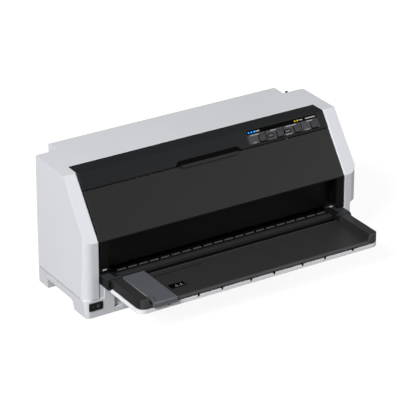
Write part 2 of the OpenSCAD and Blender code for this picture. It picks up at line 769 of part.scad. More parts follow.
module rear_cover() placed() color("gainsboro") {
    half = entry_w / 2 - 0.5;
    difference() {
        union() {
            box(-half, half, cheek_d - wall, cheek_d - 0.2, cover2_z, hood_z - 0.8);
            rod_x(-half, half, cover2_y, cover2_z, 2.6);
            // stiffening ribs on the inside
            for (i = [-2.5 : 2.5])
                across(i * rib_pitch - 1, i * rib_pitch + 1)
                    polygon([[cheek_d - wall, cover2_z + 2], [rib_y, cover2_z + 6],
                        [rib_y, hood_z - 12], [cheek_d - wall, hood_z - 4]]);
        }
        // grip
        box(-grip_w / 2, grip_w / 2, cheek_d - wall / 2, cheek_d + 1, hood_z - 10, hood_z - 4);
    }
    for (side = [-1, 1])
        mirror([side < 0 ? 1 : 0, 0, 0]) rod_x(half - 1, entry_w / 2 + 5, cover2_y, cover2_z, flap_pin);
}

// ---- tray ----------------------------------------------------------------

shell_top = tray_foot_z + 5.5;
table_t = 3.5;
table_under = table_z - table_t;
// Width of one hollow cell of the shell with its rib
cell_w = (tray_w - 34) / 9;
// Rib between the front and the rear cells
mid_rib_y = (tray_rear - tray_reach) / 2 - 1.7;

// Plan of the tray, shrunk all round except at the rear
module tray_plan(w) {
    r = tray_r - w / 2;
    translate([-tray_half + w + r, -tray_reach + w])
        square([2 * (tray_half - w - r), tray_reach - w + tray_rear]);
    translate([-tray_half + w, -tray_reach + w + r])
        square([2 * (tray_half - w), tray_reach - w - r + tray_rear]);
    for (side = [-1, 1])
        translate([side * (tray_half - w - r), -tray_reach + w + r]) circle(r);
}

module tray_shell() placed() color("gainsboro")
    difference() {
        translate([0, 0, tray_foot_z]) linear_extrude(shell_top - tray_foot_z) tray_plan(0);
        // hollow between the ribs
        for (i = [-4 : 4])
            translate([i * cell_w, 0, 0]) {
                box(1 - cell_w / 2, cell_w / 2 - 1, -tray_reach + 14, mid_rib_y - 1, tray_foot_z + 2,
                    shell_top + 1);
                box(1 - cell_w / 2, cell_w / 2 - 1, mid_rib_y + 1, tray_rear - 4, tray_foot_z + 2,
                    shell_top + 1);
            }
        // clip slots along the front
        for (u = [0.098, 0.336, 0.528])
            for (side = [-1, 1])
                translate([side * u * tray_half, -tray_reach, tray_foot_z])
                    box(-1.3, 1.3, -1, 1.5, 2.4, 4.4);
    }

// Front view of one arm: steep inside, upright outside
module arm_section() {
    arm_top = table_z + arm_rise;
    r = 2;
    difference() {
        translate([arm_in, table_under]) square([arm_w, arm_top - table_under]);
        difference() {
            translate([tray_half - r, arm_top - r]) square([r + 1, r + 1]);
            translate([tray_half - r, arm_top - r]) circle(r);
        }
        polygon([[arm_in - 1, table_z], [arm_in, table_z], [arm_in + 3, arm_top + 1],
            [arm_in - 1, arm_top + 1]]);
    }
}

module tray_table() placed() color("#2a2a2b")
    difference() {
        union() {
            // table with the round lip along its front
            intersection() {
                translate([0, 0, table_under]) linear_extrude(table_t) tray_plan(0);
                across(-tray_half, tray_half)
                    translate([-tray_reach + table_t, table_under]) {
                        square([tray_reach + tray_rear - table_t, table_t]);
                        circle(table_t);
                    }
            }
            for (side = [-1, 1])
                mirror([side < 0 ? 1 : 0, 0, 0])
                    intersection() {
                        translate([0, 0, table_under]) linear_extrude(arm_rise + 10) tray_plan(0);
                        along(-tray_reach, arm_end) arm_section();
                    }
            // dark web between the table and the white shell
            translate([0, 0, shell_top]) linear_extrude(table_under - shell_top + eps) tray_plan(groove_d);
        }
        // room for the brackets at the rear corners
        for (side = [-1, 1])
            mirror([side < 0 ? 1 : 0, 0, 0])
                box(arm_in - 0.4, tray_half + 1, arm_end, 0, tray_foot_z - 1, bracket_z + 10);
        // groove that leads the edge guide
        box(-arm_in, guide_x1 + guide_travel + 7.5, key_y - key_t / 2 - seat_gap,
            key_y + key_t / 2 + seat_gap, table_z - 1.8, table_z + 1);
        // icon field
        translate([-arm_in + 64, -tray_reach + 26, table_z - 0.3]) linear_extrude(1)
            round_rect(22, 12, 1);
    }

// Black blocks that carry the tray on the side frames
module tray_brackets() placed() color("#232425")
    for (side = [-1, 1])
        mirror([side < 0 ? 1 : 0, 0, 0])
            difference() {
                across(arm_in, arm_in + bracket_w)
                    polygon([[arm_end, shell_top], [arm_end, bracket_z - 3.5],
                        [arm_end + 1.5, bracket_z - 1], [arm_end + 4, bracket_z],
                        [frame_front - sheet_t, bracket_z], [frame_front - sheet_t, shell_top + 2],
                        [2, shell_top + 2], [0, shell_top]]);
                // recess below the cover's corner
                box(arm_in - 1, arm_in + 8, -14, 12, bracket_z - 2, bracket_z + 1);
                // room for the feed gear
                box(frame_out, tray_half + bracket_w, front_roller_y - gear_m * (feed_teeth / 2 + 1) - 1.1,
                    frame_front, shell_top, bracket_z + 1);
            }

// Grey guide that slides sideways and hooks over the tray's front
guide_x0 = -arm_in + guide_home;
guide_x1 = guide_x0 + guide_w;
guide_top = table_z + guide_rise;
under = table_z + seat_gap;
key_y = tray_rear - 12;
// Thickness of the key that runs in the table's groove
key_t = 2.6;
module edge_guide() placed() color("#4f5055") {
    y0 = -tray_reach - guide_hook;
    y1 = tray_rear + 8;
    difference() {
        // plate with its hook, seen from the side
        across(guide_x0, guide_x1)
            polygon([[y0, table_under - 0.5], [y0, guide_top - 2], [y0 + 0.6, guide_top - 0.6],
                [y0 + 2, guide_top], [y1 - 3, guide_top], [y1, under + 1], [y1, under],
                [-tray_reach - 0.6, under], [-tray_reach - 0.6, table_under - 0.5]]);
        // hollow from below between the two rails
        box(guide_x0 + 4, guide_x1 - 4, -tray_reach + 6, tray_rear - 4, under - 1, guide_top - 1.8);
    }
    // key that runs in the table's groove
    box(guide_x0 + 6, guide_x1 - 6, key_y - key_t / 2, key_y + key_t / 2, table_z - 1.5, under + 3.4);
    // raised rim along the left edge
    across(guide_x0, guide_x0 + 1.4)
        polygon([[y0 + 3, guide_top - 1], [y0 + 3, guide_top + 0.8], [y1 - 6, guide_top + 0.8],
            [y1 - 3, guide_top - 1]]);
    // thumb fin at the front left corner
    across(guide_x0, guide_x0 + 1.6)
        intersection() {
            translate([y0 + 12, guide_top - 8]) circle(13);
            translate([y0 + 1.5, guide_top - 1]) square([24, 8]);
        }
}

// ---- paper path ----------------------------------------------------------

pinch_pin = 2;
pinch_w = 12;
guide_half = arm_in - 0.5;
// Thickness of the paper guides' plates
guide_t = 1.6;
// Levels of the front guide: its raised bar, the groove behind it and the seat of the pads
bar_z = path_z - 2.5;
groove_z = table_z + 1;
pad_z = path_z - 4;
pad_y0 = 5;
pad_y1 = 9;
pad_n = 20;
pad_pitch = guide_half * 2 / 20.5;
pad_w = pad_pitch * 0.77;
pad_x0 = -guide_half + 8;
function roller_x(i) = (i - (roller_n - 1) / 2) * roller_pitch;

// Rollers of one shaft
module roller_row(y, z, r, bore, w)
    for (i = [0 : roller_n - 1])
        difference() {
            rod_x(roller_x(i) - w / 2, roller_x(i) + w / 2, y, z, r);
            rod_x(roller_x(i) - w / 2 - 1, roller_x(i) + w / 2 + 1, y, z, bore);
        }

// Windows that let the rollers through a guide
module roller_windows(y)
    for (i = [0 : roller_n - 1])
        box(roller_x(i) - roller_w / 2 - 2, roller_x(i) + roller_w / 2 + 2, y - roller_r - 1.6,
            y + roller_r + 1.6, path_z - 12, path_z + 2);

module front_guide() placed() color("#242526") {
    y0 = tray_rear + 1.6;
    y1 = platen_y - platen_w / 2 - 0.6;
    top = path_z - 2;
    difference() {
        across(-guide_half, guide_half)
            polygon([[y0, deck_z], [y0, table_z - 1], [y0 + 1, table_z], [y0 + 6.5, table_z],
                [y0 + 7, table_z - 2], [y0 + 8.5, table_z - 2], [y0 + 9, bar_z - 1],
                [y0 + 10.5, bar_z], [2.5, bar_z], [3, groove_z], [pad_y0, groove_z],
                [pad_y0, pad_z], [pad_y1, pad_z], [pad_y1, groove_z], [13, groove_z], [14.5, top],
                [y1, top], [y1, top - guide_t], [16.5, top - guide_t], [16.5, deck_z], [14, deck_z],
                [14, table_z - 2], [5, table_z - 2], [4, table_z - 4], [y0 + 2.5, table_z - 4],
                [y0 + 2.5, deck_z]]);
        roller_windows(front_roller_y);
    }
    // ribs that carry the sheet between the rollers
    for (i = [0 : roller_n - 2])
        across(roller_x(i) + roller_pitch / 2 - 1, roller_x(i) + roller_pitch / 2 + 1)
            polygon([[17, top - eps], [20, path_z - 0.6], [y1 - 3, path_z - 0.6], [y1, top - eps]]);
}

// Grey strip with the row of pads in front of the slot
module guide_pads() placed() color("gray") {
    across(-guide_half + 2, guide_half - 2)
        polygon([[pad_y0 + 0.2, pad_z], [pad_y1 - 0.2, pad_z], [pad_y1 - 0.2, pad_z + 0.8],
            [pad_y0 + 0.2, pad_z + 0.8]]);
    for (i = [0 : pad_n - 1])
        translate([pad_x0 + i * pad_pitch, 0, 0])
            across(0, pad_w)
                polygon([[pad_y0 + 0.2, pad_z + 0.8 - eps], [pad_y0 + 0.2, path_z - 1.4],
                    [pad_y0 + 1.2, path_z - 0.5], [pad_y1 - 1.2, path_z - 0.5],
                    [pad_y1 - 0.2, path_z - 1.4], [pad_y1 - 0.2, pad_z + 0.8 - eps]]);
}

module rear_guide() placed() color("#242526") {
    y0 = platen_y + platen_w / 2 + 0.6;
    y1 = cheek_d - 8;
    top = path_z - 2;
    difference() {
        across(-frame_half, frame_half)
            polygon([[y0, top], [y1 - 6, top], [y1, top - 4], [y1, top - 4 - guide_t],
                [y1 - 7, top - guide_t], [y0, top - guide_t]]);
        roller_windows(rear_roller_y);
        // notches beside the bushes
        for (side = [-1, 1])
            box(side * frame_half - 3, side * frame_half + 3, rear_roller_y - bush_r - 3,
                rear_roller_y + bush_r + 3, 50, 70);
    }
    for (i = [0 : roller_n - 2])
        across(roller_x(i) + roller_pitch / 2 - 1, roller_x(i) + roller_pitch / 2 + 1)
            polygon([[y0, top - eps], [y0 + 3, path_z - 0.6], [y1 - 12, path_z - 0.6],
                [y1 - 8, top - eps]]);
}

module platen() placed() color("dimgray") {
    across(-frame_half, frame_half)
        polygon([[platen_y - platen_w / 2, path_z - 11], [platen_y - platen_w / 2, path_z - 1.5],
            [platen_y - platen_w / 2 + 1.5, path_z - 0.4], [platen_y + platen_w / 2 - 1.5, path_z - 0.4],
            [platen_y + platen_w / 2, path_z - 1.5], [platen_y + platen_w / 2, path_z - 11],
            [platen_y + platen_w / 2 - 2, path_z - 11], [platen_y + platen_w / 2 - 2, path_z - 4],
            [platen_y - platen_w / 2 + 2, path_z - 4], [platen_y - platen_w / 2 + 2, path_z - 11]]);
}

module front_feed_shaft() placed() color("silver")
    rod_x(gear_x - gear_w - 0.6, half_w - 4, front_roller_y, roller_z, shaft_r);
module front_feed_rollers() placed() color("#2c2c2c")
    roller_row(front_roller_y, roller_z, roller_r, shaft_r + press_fit, roller_w);
module front_feed_gear() placed() color("ivory")
    feed_gear(feed_teeth, front_roller_y, roller_z, 180 / feed_teeth, shaft_r + press_fit, 6);
module rear_feed_shaft() placed() color("silver")
    rod_x(gear_x - gear_w - 0.6, frame_out + 2, rear_roller_y, roller_z, shaft_r);
module rear_feed_rollers() placed() color("#2c2c2c")
    roller_row(rear_roller_y, roller_z, roller_r, shaft_r + press_fit, roller_w);
module rear_feed_gear() placed() color("ivory")
    feed_gear(feed_teeth, rear_roller_y, roller_z, 180 / feed_teeth, shaft_r + press_fit, 6);

module feed_idler_gear() placed() color("ivory")
    feed_gear(idler_teeth, platen_y, roller_z, 0, stud_r + run_fit, 6);
module feed_pinion() placed() color("goldenrod") {
    feed_gear(pinion_teeth, pinion_y, pinion_z, pinion_turn, 2, 0);
    rod_x(gear_x - gear_w - 0.4, -frame_half + 12, pinion_y, pinion_z, motor_pin);
}

module front_pinch_rollers() placed() color("gray") {
    roller_row(front_roller_y, pinch_z, pinch_r, pinch_pin - eps, pinch_w);
    rod_x(-frame_out + 0.2, frame_out - 0.2, front_roller_y, pinch_z, pinch_pin);
}
module rear_pinch_rollers() placed() color("gray") {
    roller_row(rear_roller_y, pinch_z, pinch_r, pinch_pin - eps, pinch_w);
    rod_x(-frame_out + 0.2, frame_out - 0.2, rear_roller_y, pinch_z, pinch_pin);
}

module feed_knob() placed() color("#333435")
    difference() {
        union() {
            rod_x(knob_in + 1, half_w - 1.2, front_roller_y, roller_z, knob_r - 1);
            for (i = [0 : 23])
                translate([knob_in + 1, front_roller_y, roller_z]) rotate([i * 15, 0, 0])
                    translate([0, -1.2, knob_r - 2.4]) cube([half_w - knob_in - 3.2, 2.4, 2.2]);
        }
        rod_x(knob_in, half_w - 4, front_roller_y, roller_z, shaft_r + press_fit);
        // dished outer face
        rod_x(half_w - 2.4, half_w + 1, front_roller_y, roller_z, knob_r - 4);
    }

// ---- chassis -------------------------------------------------------------

frame_rear = cheek_d - frame_gap;
pan_z = arch_h + wall;
tab_w = 12;
// Depths of the tabs on which a side frame stands
tab_y = [[frame_front + 24, frame_front + 40], [frame_rear - 34, frame_rear - 16]];
stud_r = 3;
bush_r = 7;
// Front edge of the tongue over the tray bracket
tongue_y = 10;
// Radius of the hole that lets the pinion through
pinion_hole = 11;
// Height of the side frames at their rear and over the carriage rod
frame_top = rod_z + 43;
frame_mid = rod_z + 33;

module frame_outline()
    polygon([[frame_front, pan_z], [frame_rear, pan_z], [frame_rear, frame_top],
        [frame_rear - 14, frame_top], [frame_rear - 20, frame_mid], [rod_y - 40, frame_mid],
        [frame_front + 6, rod_z + 5], [frame_front, rod_z - 5]]);

// Sheet-steel side with the holes for all the shafts
module side_plate() {
    difference() {
        union() {
            across(frame_half, frame_out) frame_outline();
            // flange and tongue that hold the tray bracket
            across(arm_in + 5, frame_out)
                polygon([[frame_front, deck_z], [frame_front, bracket_z + sheet_t],
                    [tongue_y, bracket_z + sheet_t], [tongue_y, bracket_z],
                    [frame_front - sheet_t, bracket_z], [frame_front - sheet_t, deck_z]]);
            // tabs that stand on the bosses of the lower case
            for (t = tab_y)
                box(frame_half - tab_w, frame_out, t[0], t[1], pan_z, pan_z + sheet_t);
        }
        for (y = [front_roller_y, rear_roller_y]) {
            rod_x(frame_half - 1, frame_out + 1, y, roller_z, bush_r + press_fit);
            rod_x(frame_half - 1, frame_out + 1, y, pinch_z, pinch_pin + run_fit);
        }
        rod_x(frame_half - 1, frame_out + 1, rod_y, rod_z, rod_r + press_fit);
        // lightening windows
        across(frame_half - 1, frame_out + 1)
            polygon([[rod_y - 38, rod_z - 11], [rod_y - 16, rod_z - 11], [rod_y - 16, rod_z + 23],
                [rod_y - 34, rod_z + 23], [rod_y - 50, rod_z + 9], [rod_y - 50, rod_z - 3]]);
        box(frame_half - 1, frame_out + 1, frame_rear - 28, frame_rear - 8, pan_z + 8.2, deck_z - 2.2);
    }
}

module left_frame() placed() color("lightgray")
    difference() {
        union() {
            mirror([1, 0, 0]) side_plate();
            rod_x(-frame_out - gear_w - 1.6, -frame_out + eps, platen_y, roller_z, stud_r);
        }
        rod_x(-frame_out - 1, -frame_half + 1, pinion_y, pinion_z, pinion_hole);
    }

module right_frame() placed() color("lightgray") {
    side_plate();
    rod_x(frame_out - eps, lever_x + 4.8, lever_y, lever_z, stud_r);
}

module shaft_bushes() placed() color("ivory")
    for (side = [-1, 1], y = [front_roller_y, rear_roller_y])
        mirror([side < 0 ? 1 : 0, 0, 0])
            difference() {
                union() {
                    rod_x(frame_half - 2, frame_out + 0.4, y, roller_z, bush_r);
                    rod_x(frame_half - 2, frame_half - press_fit, y, roller_z, bush_r + 2);
                }
                rod_x(frame_half - 3, frame_out + 2, y, roller_z, shaft_r + run_fit);
            }

module front_beam() placed() color("lightgray") {
    y0 = frame_front + 2;
    y1 = y0 + 16;
    z0 = pan_z + seat_gap;
    z1 = deck_z - 2.2;
    across(-frame_half, frame_half)
        polygon([[y0, z0], [y0, z1], [y1, z1], [y1, z0], [y1 - sheet_t, z0], [y1 - sheet_t, z1 - sheet_t],
            [y0 + sheet_t, z1 - sheet_t], [y0 + sheet_t, z0]]);
}

module rear_beam() placed() color("lightgray")
    across(-frame_half, frame_half)
        polygon([[beam_y + sheet_t, belt_z - 10], [beam_y + sheet_t, plate_z + 8], [beam_y, plate_z + 8],
            [beam_y, belt_z - 10 + sheet_t], [beam_y - 9, belt_z - 10 + sheet_t],
            [beam_y - 9, belt_z - 10]]);

module carriage_rod() placed() color("silver")
    difference() {
        rod_x(-frame_out - 3, frame_out + 3, rod_y, rod_z, rod_r);
        for (side = [-1, 1])
            rod_x(side * (frame_out + 1.6) - 0.5, side * (frame_out + 1.6) + 0.5, rod_y, rod_z, 0.5);
    }

beam_y = frame_rear - 3.5;
rail_y = platen_y - 26;
rail_top = rod_z - 3;
module front_rail() placed() color("lightgray")
    across(-frame_half, frame_half)
        polygon([[rail_y, rail_top - 14], [rail_y, rail_top], [rail_y + 2, rail_top],
            [rail_y + 2, rail_top - 12], [rail_y + 10, rail_top - 12], [rail_y + 10, rail_top - 14]]);

// ---- carriage ------------------------------------------------------------

deck = rod_z - 11;
seat = rod_z;
module carriage() placed() color("#2e2f31")
    difference() {
        union() {
            // floor with a raised rim on both sides
            box(-carriage_half, carriage_half, platen_y - 16, rod_y + 9, deck, deck + 4);
            for (side = [-1, 1])
                mirror([side < 0 ? 1 : 0, 0, 0])
                    across(carriage_half - 3, carriage_half)
                        polygon([[platen_y - 16, deck], [platen_y - 16, seat], [platen_y - 10, seat],
                            [platen_y - 4, deck + 8], [rod_y - 14, deck + 8], [rod_y - 9, rod_z + 6],
                            [rod_y + 9, rod_z + 6], [rod_y + 9, deck]]);
            // bearing housing
            rod_x(-carriage_half, carriage_half, rod_y, rod_z, rod_r + 4);
            box(-carriage_half, carriage_half, rod_y - 8, rod_y + 9, deck, rod_z);
            // fork that runs on the front rail
            box(-14, 14, platen_y - 16, platen_y - 13, deck, seat);
            box(-14, 14, rail_y - 4, platen_y - 15, rail_top + 0.3, seat);
            box(-14, 14, rail_y - 4, rail_y - 0.3, rail_top - 9, seat);
            // belt clamp
            box(-10, 10, rod_y + 8, clamp_y + 5.4, deck - 0.6, belt_z - belt_w / 2 - 0.3);
            box(-10, 10, rod_y + 8, clamp_y - 0.3, deck - 0.6, belt_z + 4);
            box(-10, 10, clamp_y + belt_t + 0.3, clamp_y + 5.4, deck - 0.6, belt_z + 4);
        }
        rod_x(-carriage_half - 1, carriage_half + 1, rod_y, rod_z, rod_r + run_fit);
        // window for the head
        box(-16.4, 16.4, platen_y - 13, platen_y + 14.6, deck - 1, deck + 20);
    }

clamp_y = pulley_y - pulley_r - belt_gap - belt_t;

module print_head() placed() color("darkgray") translate([0, platen_y, 0]) {
    // nose with the wire guide
    along(-4, 4)
        polygon([[-4, path_z + 2], [4, path_z + 2], [7, path_z + 12], [12, deck], [-12, deck],
            [-7, path_z + 12]]);
    box(-16, 16, -12.6, 14.2, deck, deck + 4);
    // flange on the carriage floor
    difference() {
        box(-22, 22, -12.8, 17.6, deck + 4, deck + 6);
        box(-22.1, -17.6, 14.4, 18, deck, deck + 9);
    }
    // finned body
    for (i = [0 : 6])
        translate([0, 1, deck + 6 + i * 3.4]) linear_extrude(1.4) round_rect(32, 27, 5);
    translate([0, 1, deck + 6]) cylinder(r = 11, h = 24);
    // connector for the cable
    box(-9, 9, 4, 12, deck + 27, deck + 31);
}

cartridge_w = 84;
cartridge_d = 29;
cartridge_h = 21;
cartridge_y = platen_y - 17 - cartridge_d / 2;
knob2_x = -24;
knob2_y = cartridge_y - 0.5;
knob2_r = 8;
knob2_pin = 2;
module ribbon_cartridge() placed() color("#1e1f20") {
    y1 = platen_y - 17;
    z0 = seat;
    z1 = seat + cartridge_h;
    difference() {
        union() {
            translate([0, cartridge_y, z0]) linear_extrude(cartridge_h)
                round_rect(cartridge_w, cartridge_d, 6);
            translate([0, cartridge_y, z1 - eps]) linear_extrude(1.2)
                round_rect(cartridge_w - 6, cartridge_d - 6, 4);
            // arms that lead the ribbon past the nose
            for (side = [-1, 1])
                mirror([side < 0 ? 1 : 0, 0, 0])
                    across(33, 38)
                        polygon([[y1 - 6, z0 + 2], [y1 - 6, z0 + 14], [y1 + 4, z0 + 14],
                            [platen_y + 6, path_z + 8], [platen_y + 6, path_z + 2.2],
                            [platen_y - 6, path_z + 2.2], [y1 + 2, z0 + 2]]);
        }
        rod_z(knob2_x, knob2_y, z0 + 6, z1 + 2, knob2_pin + run_fit);
    }
}

module ribbon() placed() color("black")
    along(platen_y - 6, platen_y + 6)
        polygon([[-38, path_z + 2.15], [-34, path_z + 1.9], [-4, path_z + 1.5], [4, path_z + 1.5],
            [34, path_z + 1.9], [38, path_z + 2.15], [38, path_z + 1.9], [34, path_z + 1.65],
            [4, path_z + 1.25], [-4, path_z + 1.25], [-34, path_z + 1.65], [-38, path_z + 1.9]]);

module ribbon_knob() placed() color("#38393b")
    translate([knob2_x, knob2_y, seat + cartridge_h + 1.5]) {
        difference() {
            cylinder(r = knob2_r, h = 6);
            for (i = [0 : 11])
                rotate(i * 30) translate([knob2_r + 1.2, 0, -1]) cylinder(r = 2, h = 8);
        }
        translate([0, 0, -12]) cylinder(r = knob2_pin, h = 12.5);
    }

// ---- carriage drive ------------------------------------------------------

module belt_loop(r) {
    translate([idler_x, -r]) square([drive_x - idler_x, 2 * r]);
    translate([idler_x, 0]) circle(r);
    translate([drive_x, 0]) circle(r);
}
module timing_belt() placed() color("#1a1a1a")
    translate([0, pulley_y, belt_z - belt_w / 2]) linear_extrude(belt_w)
        difference() {
            belt_loop(pulley_r + belt_gap + belt_t);
            belt_loop(pulley_r + belt_gap);
        }

module toothed_pulley(x) translate([x, pulley_y, 0]) {
    translate([0, 0, belt_z - belt_w / 2 - 1]) cylinder(r = pulley_r, h = belt_w + 2);
    translate([0, 0, belt_z - belt_w / 2 - 2]) cylinder(r = flange_r, h = 1.2);
    translate([0, 0, belt_z + belt_w / 2 + 0.8]) cylinder(r = flange_r, h = 1.2);
}
module drive_pulley() placed() color("goldenrod") {
    toothed_pulley(drive_x);
    rod_z(drive_x, pulley_y, belt_z - 6, plate_z + 8, motor_pin);
}
module idler_pulley() placed() color("ivory")
    difference() {
        toothed_pulley(idler_x);
        rod_z(idler_x, pulley_y, belt_z - 10, belt_z + 10, motor_pin + run_fit);
    }
module idler_bracket() placed() color("lightgray") {
    difference() {
        box(-frame_half, idler_x + 14, pulley_y - 12, beam_y, plate_z, plate_z + sheet_t);
        box(idler_x - 7, idler_x + 10, pulley_y + 7, pulley_y + 10, plate_z - 1, plate_z + 3);
    }
    rod_z(idler_x, pulley_y, belt_z - 7.4, plate_z + eps, motor_pin);
    rod_z(idler_x, pulley_y, belt_z - 7.4, belt_z - 5.4, 4);
}
module motor_bracket() placed() color("lightgray")
    difference() {
        box(drive_x - drive_motor_a / 2 - 3, frame_half, pulley_y - drive_motor_a / 2, beam_y,
            plate_z, plate_z + sheet_t);
        rod_z(drive_x, pulley_y, plate_z - 1, plate_z + 3, 6);
    }

// Length of both motors
motor_l = 32;

// Stepper motor with its round can between two flanges, seen from the shaft end
module stepper(a, depth, bore) {
    difference() {
        union() {
            linear_extrude(3) round_rect(a, a, 4);
            translate([0, 0, 3]) cylinder(r = a / 2 - 0.6, h = depth - 6);
            translate([0, 0, depth - 3]) linear_extrude(3) round_rect(a, a, 4);
        }
        translate([0, 0, -1]) cylinder(r = bore, h = 13);
        for (sx = [-1, 1], sy = [-1, 1])
            translate([sx * (a / 2 - 3.6), sy * (a / 2 - 3.6), -1]) cylinder(r = 1.6, h = 5);
    }
}
module carriage_motor() placed() color("gray")
    translate([drive_x, pulley_y, plate_z + sheet_t]) stepper(drive_motor_a, motor_l, motor_pin + run_fit);
module feed_motor() placed() color("gray")
    translate([-frame_half, pinion_y, pinion_z]) rotate([0, 90, 0]) {
        stepper(feed_motor_a, motor_l, motor_pin + run_fit);
    }

// ---- electronics ---------------------------------------------------------

psu_x1 = frame_half - psu_side;
psu_x0 = psu_x1 - psu_w;
board_z = floor_z + board_lift;
board_x0 = -frame_half + board_side;
board_x1 = psu_x0 - board_gap;
board_y1 = cheek_d - 6;
board_w = board_x1 - board_x0;
board_holes_x = [board_x0 + 8, board_x1 - 8];
board_holes_y = [inner_y + 8, board_y1 - 16];
port_w = 60;
port_h = 11.6;
port_x = board_x1 - 85;
usb_w = 12;
usb_x = board_x1 - 25;
inlet_x = frame_half - inlet_side;
inlet_z = seam_z + 15;

module main_board() placed() color("darkgreen") {
    difference() {
        box(board_x0, board_x1, inner_y, board_y1, board_z, board_z + board_t);
        for (x = board_holes_x, y = board_holes_y) rod_z(x, y, board_z - 1, board_z + 3, 1.6);
    }
    // chips and a connector: share of the width, depth from the front edge, width, depth, height
    translate([board_x0, inner_y, board_z + board_t]) {
        for (p = [[0.205, 30, 24, 24, 3], [0.431, 26, 18, 28, 2.4], [0.667, 22, 14, 20, 2.4],
                [0.851, 42, 28, 12, 4], [0.195, 68, 12, 30, 9]])
            translate([p[0] * board_w - p[2] / 2, p[1] - p[3] / 2, 0]) cube([p[2], p[3], p[4]]);
        for (i = [0 : 4]) translate([(0.31 + i * 0.07) * board_w, 54, 0]) cylinder(r = 4, h = 10);
    }
}

// Socket block with a well and a tongue in it, its front at the rear wall
module socket(x, w, h, inset, tongue)
    translate([x, cheek_d, 0])
        difference() {
            box(-w / 2, w / 2, -16, -0.6, 0, h);
            difference() {
                box(inset - w / 2, w / 2 - inset, -8, 0, 2, h - 2);
                box(-tongue / 2, tongue / 2, -9, 1, h / 2 - 1.3, h / 2 + 1.3);
            }
        }
module interface_ports() placed() color("#555659") translate([0, 0, board_z + board_t]) {
    socket(port_x, port_w, port_h, 3, 48);
    socket(usb_x, usb_w, port_h, 1.8, 5.6);
}

module power_supply() placed() color("lightgray")
    translate([psu_x0, inner_y, floor_z])
        difference() {
            cube([psu_w, psu_d, psu_h]);
            box(psu_wall, psu_w - psu_wall, psu_wall, psu_d - psu_wall, psu_wall, psu_h - psu_wall);
            for (i = [0 : 13])
                translate([12 + i * (psu_w - 26) / 13, 0, 0]) box(0, 4, 10, psu_d - 10, psu_h - 4, psu_h + 2);
        }

module mains_inlet() placed() color("#202122") translate([inlet_x, cheek_d, inlet_z])
    difference() {
        union() {
            along(0, 2.4) round_rect(31, 23, 3);
            along(-22, 0) round_rect(27, 19.6, 3);
            for (x = [-7, 0, 7]) box(x - 2, x + 2, -27, -22, -0.5, 0.5);
        }
        difference() {
            along(-16, 3) round_rect(24, 16.4, 2);
            for (x = [-7, 7]) box(x - 1, x + 1, -17, -4, -2.4, 2.4);
            box(-1, 1, -17, -3, 1.4, 6.2);
        }
    }

// ---- release lever -------------------------------------------------------

lever_x = frame_out + 0.4;
lever_y = cheek_d - 10;
lever_z = 132;
module release_lever() placed() color("#232425")
    difference() {
        union() {
            rod_x(lever_x, lever_x + 4, lever_y, lever_z, 6);
            across(lever_x, lever_x + 4)
                polygon([[lever_y - 2, lever_z - 5], [cheek_d + 4, lever_z - 3], [cheek_d + 6, lever_z + 1],
                    [cheek_d + 6, case_h - 6], [cheek_d + 5, case_h], [cheek_d + 3, case_h],
                    [cheek_d + 2, case_h - 4], [cheek_d + 2, lever_z + 4], [lever_y, lever_z + 5]]);
        }
        rod_x(lever_x - 1, lever_x + 5, lever_y, lever_z, stud_r + run_fit);
    }

lower_case();
upper_case();
control_bezel();
control_panel();
panel_board();
pause_button();
tear_button();
feed_button();
load_button();
blue_lamps();
yellow_lamps();
power_switch();
power_rocker();
rubber_feet();
front_cover();
rear_cover();
tray_shell();
tray_table();
tray_brackets();
edge_guide();
front_guide();
rear_guide();
platen();
front_feed_shaft();
front_feed_rollers();
front_feed_gear();
feed_knob();
rear_feed_shaft();
rear_feed_rollers();
rear_feed_gear();
feed_idler_gear();
feed_pinion();
feed_motor();
front_pinch_rollers();
rear_pinch_rollers();
shaft_bushes();
left_frame();
right_frame();
front_beam();
rear_beam();
carriage_rod();
front_rail();
carriage();
print_head();
ribbon_cartridge();
ribbon();
ribbon_knob();
timing_belt();
drive_pulley();
idler_pulley();
idler_bracket();
motor_bracket();
carriage_motor();
main_board();
power_supply();
interface_ports();
mains_inlet();
release_lever();
knob_well();
guide_pads();
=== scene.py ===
"""Looks of a flatbed dot matrix printer: case, front cover, paper tray and the works inside."""

import json
import math

import bmesh
import bpy
from mathutils import Matrix, Vector


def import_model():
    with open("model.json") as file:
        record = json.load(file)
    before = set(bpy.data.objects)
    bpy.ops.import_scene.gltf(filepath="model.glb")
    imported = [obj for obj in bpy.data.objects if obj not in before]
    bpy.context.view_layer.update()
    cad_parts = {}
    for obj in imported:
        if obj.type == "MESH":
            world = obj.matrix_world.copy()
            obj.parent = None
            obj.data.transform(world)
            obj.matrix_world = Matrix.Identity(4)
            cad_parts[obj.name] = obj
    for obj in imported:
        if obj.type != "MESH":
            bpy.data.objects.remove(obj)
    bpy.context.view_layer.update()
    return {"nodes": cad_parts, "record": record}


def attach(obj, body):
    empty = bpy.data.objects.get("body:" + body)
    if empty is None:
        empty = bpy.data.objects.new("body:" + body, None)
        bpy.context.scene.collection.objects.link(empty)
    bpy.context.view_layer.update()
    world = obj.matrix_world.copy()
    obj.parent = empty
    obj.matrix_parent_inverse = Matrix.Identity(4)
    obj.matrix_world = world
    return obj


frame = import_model()
MM = 0.001
WHITE = (1.0, 1.0, 1.0, 1.0)

# ---- the printer's main measures, in mm ------------------------------------------

# Depths (y) count from the front faces of the side cheeks, heights (z) from the table.
# The scene's own y is ROW_SHIFT less.
ROW_SHIFT = -34.0
UP, DOWN = (0, 0, 1), (0, 0, -1)
FORWARD, BACKWARD = (0, -1, 0), (0, 1, 0)

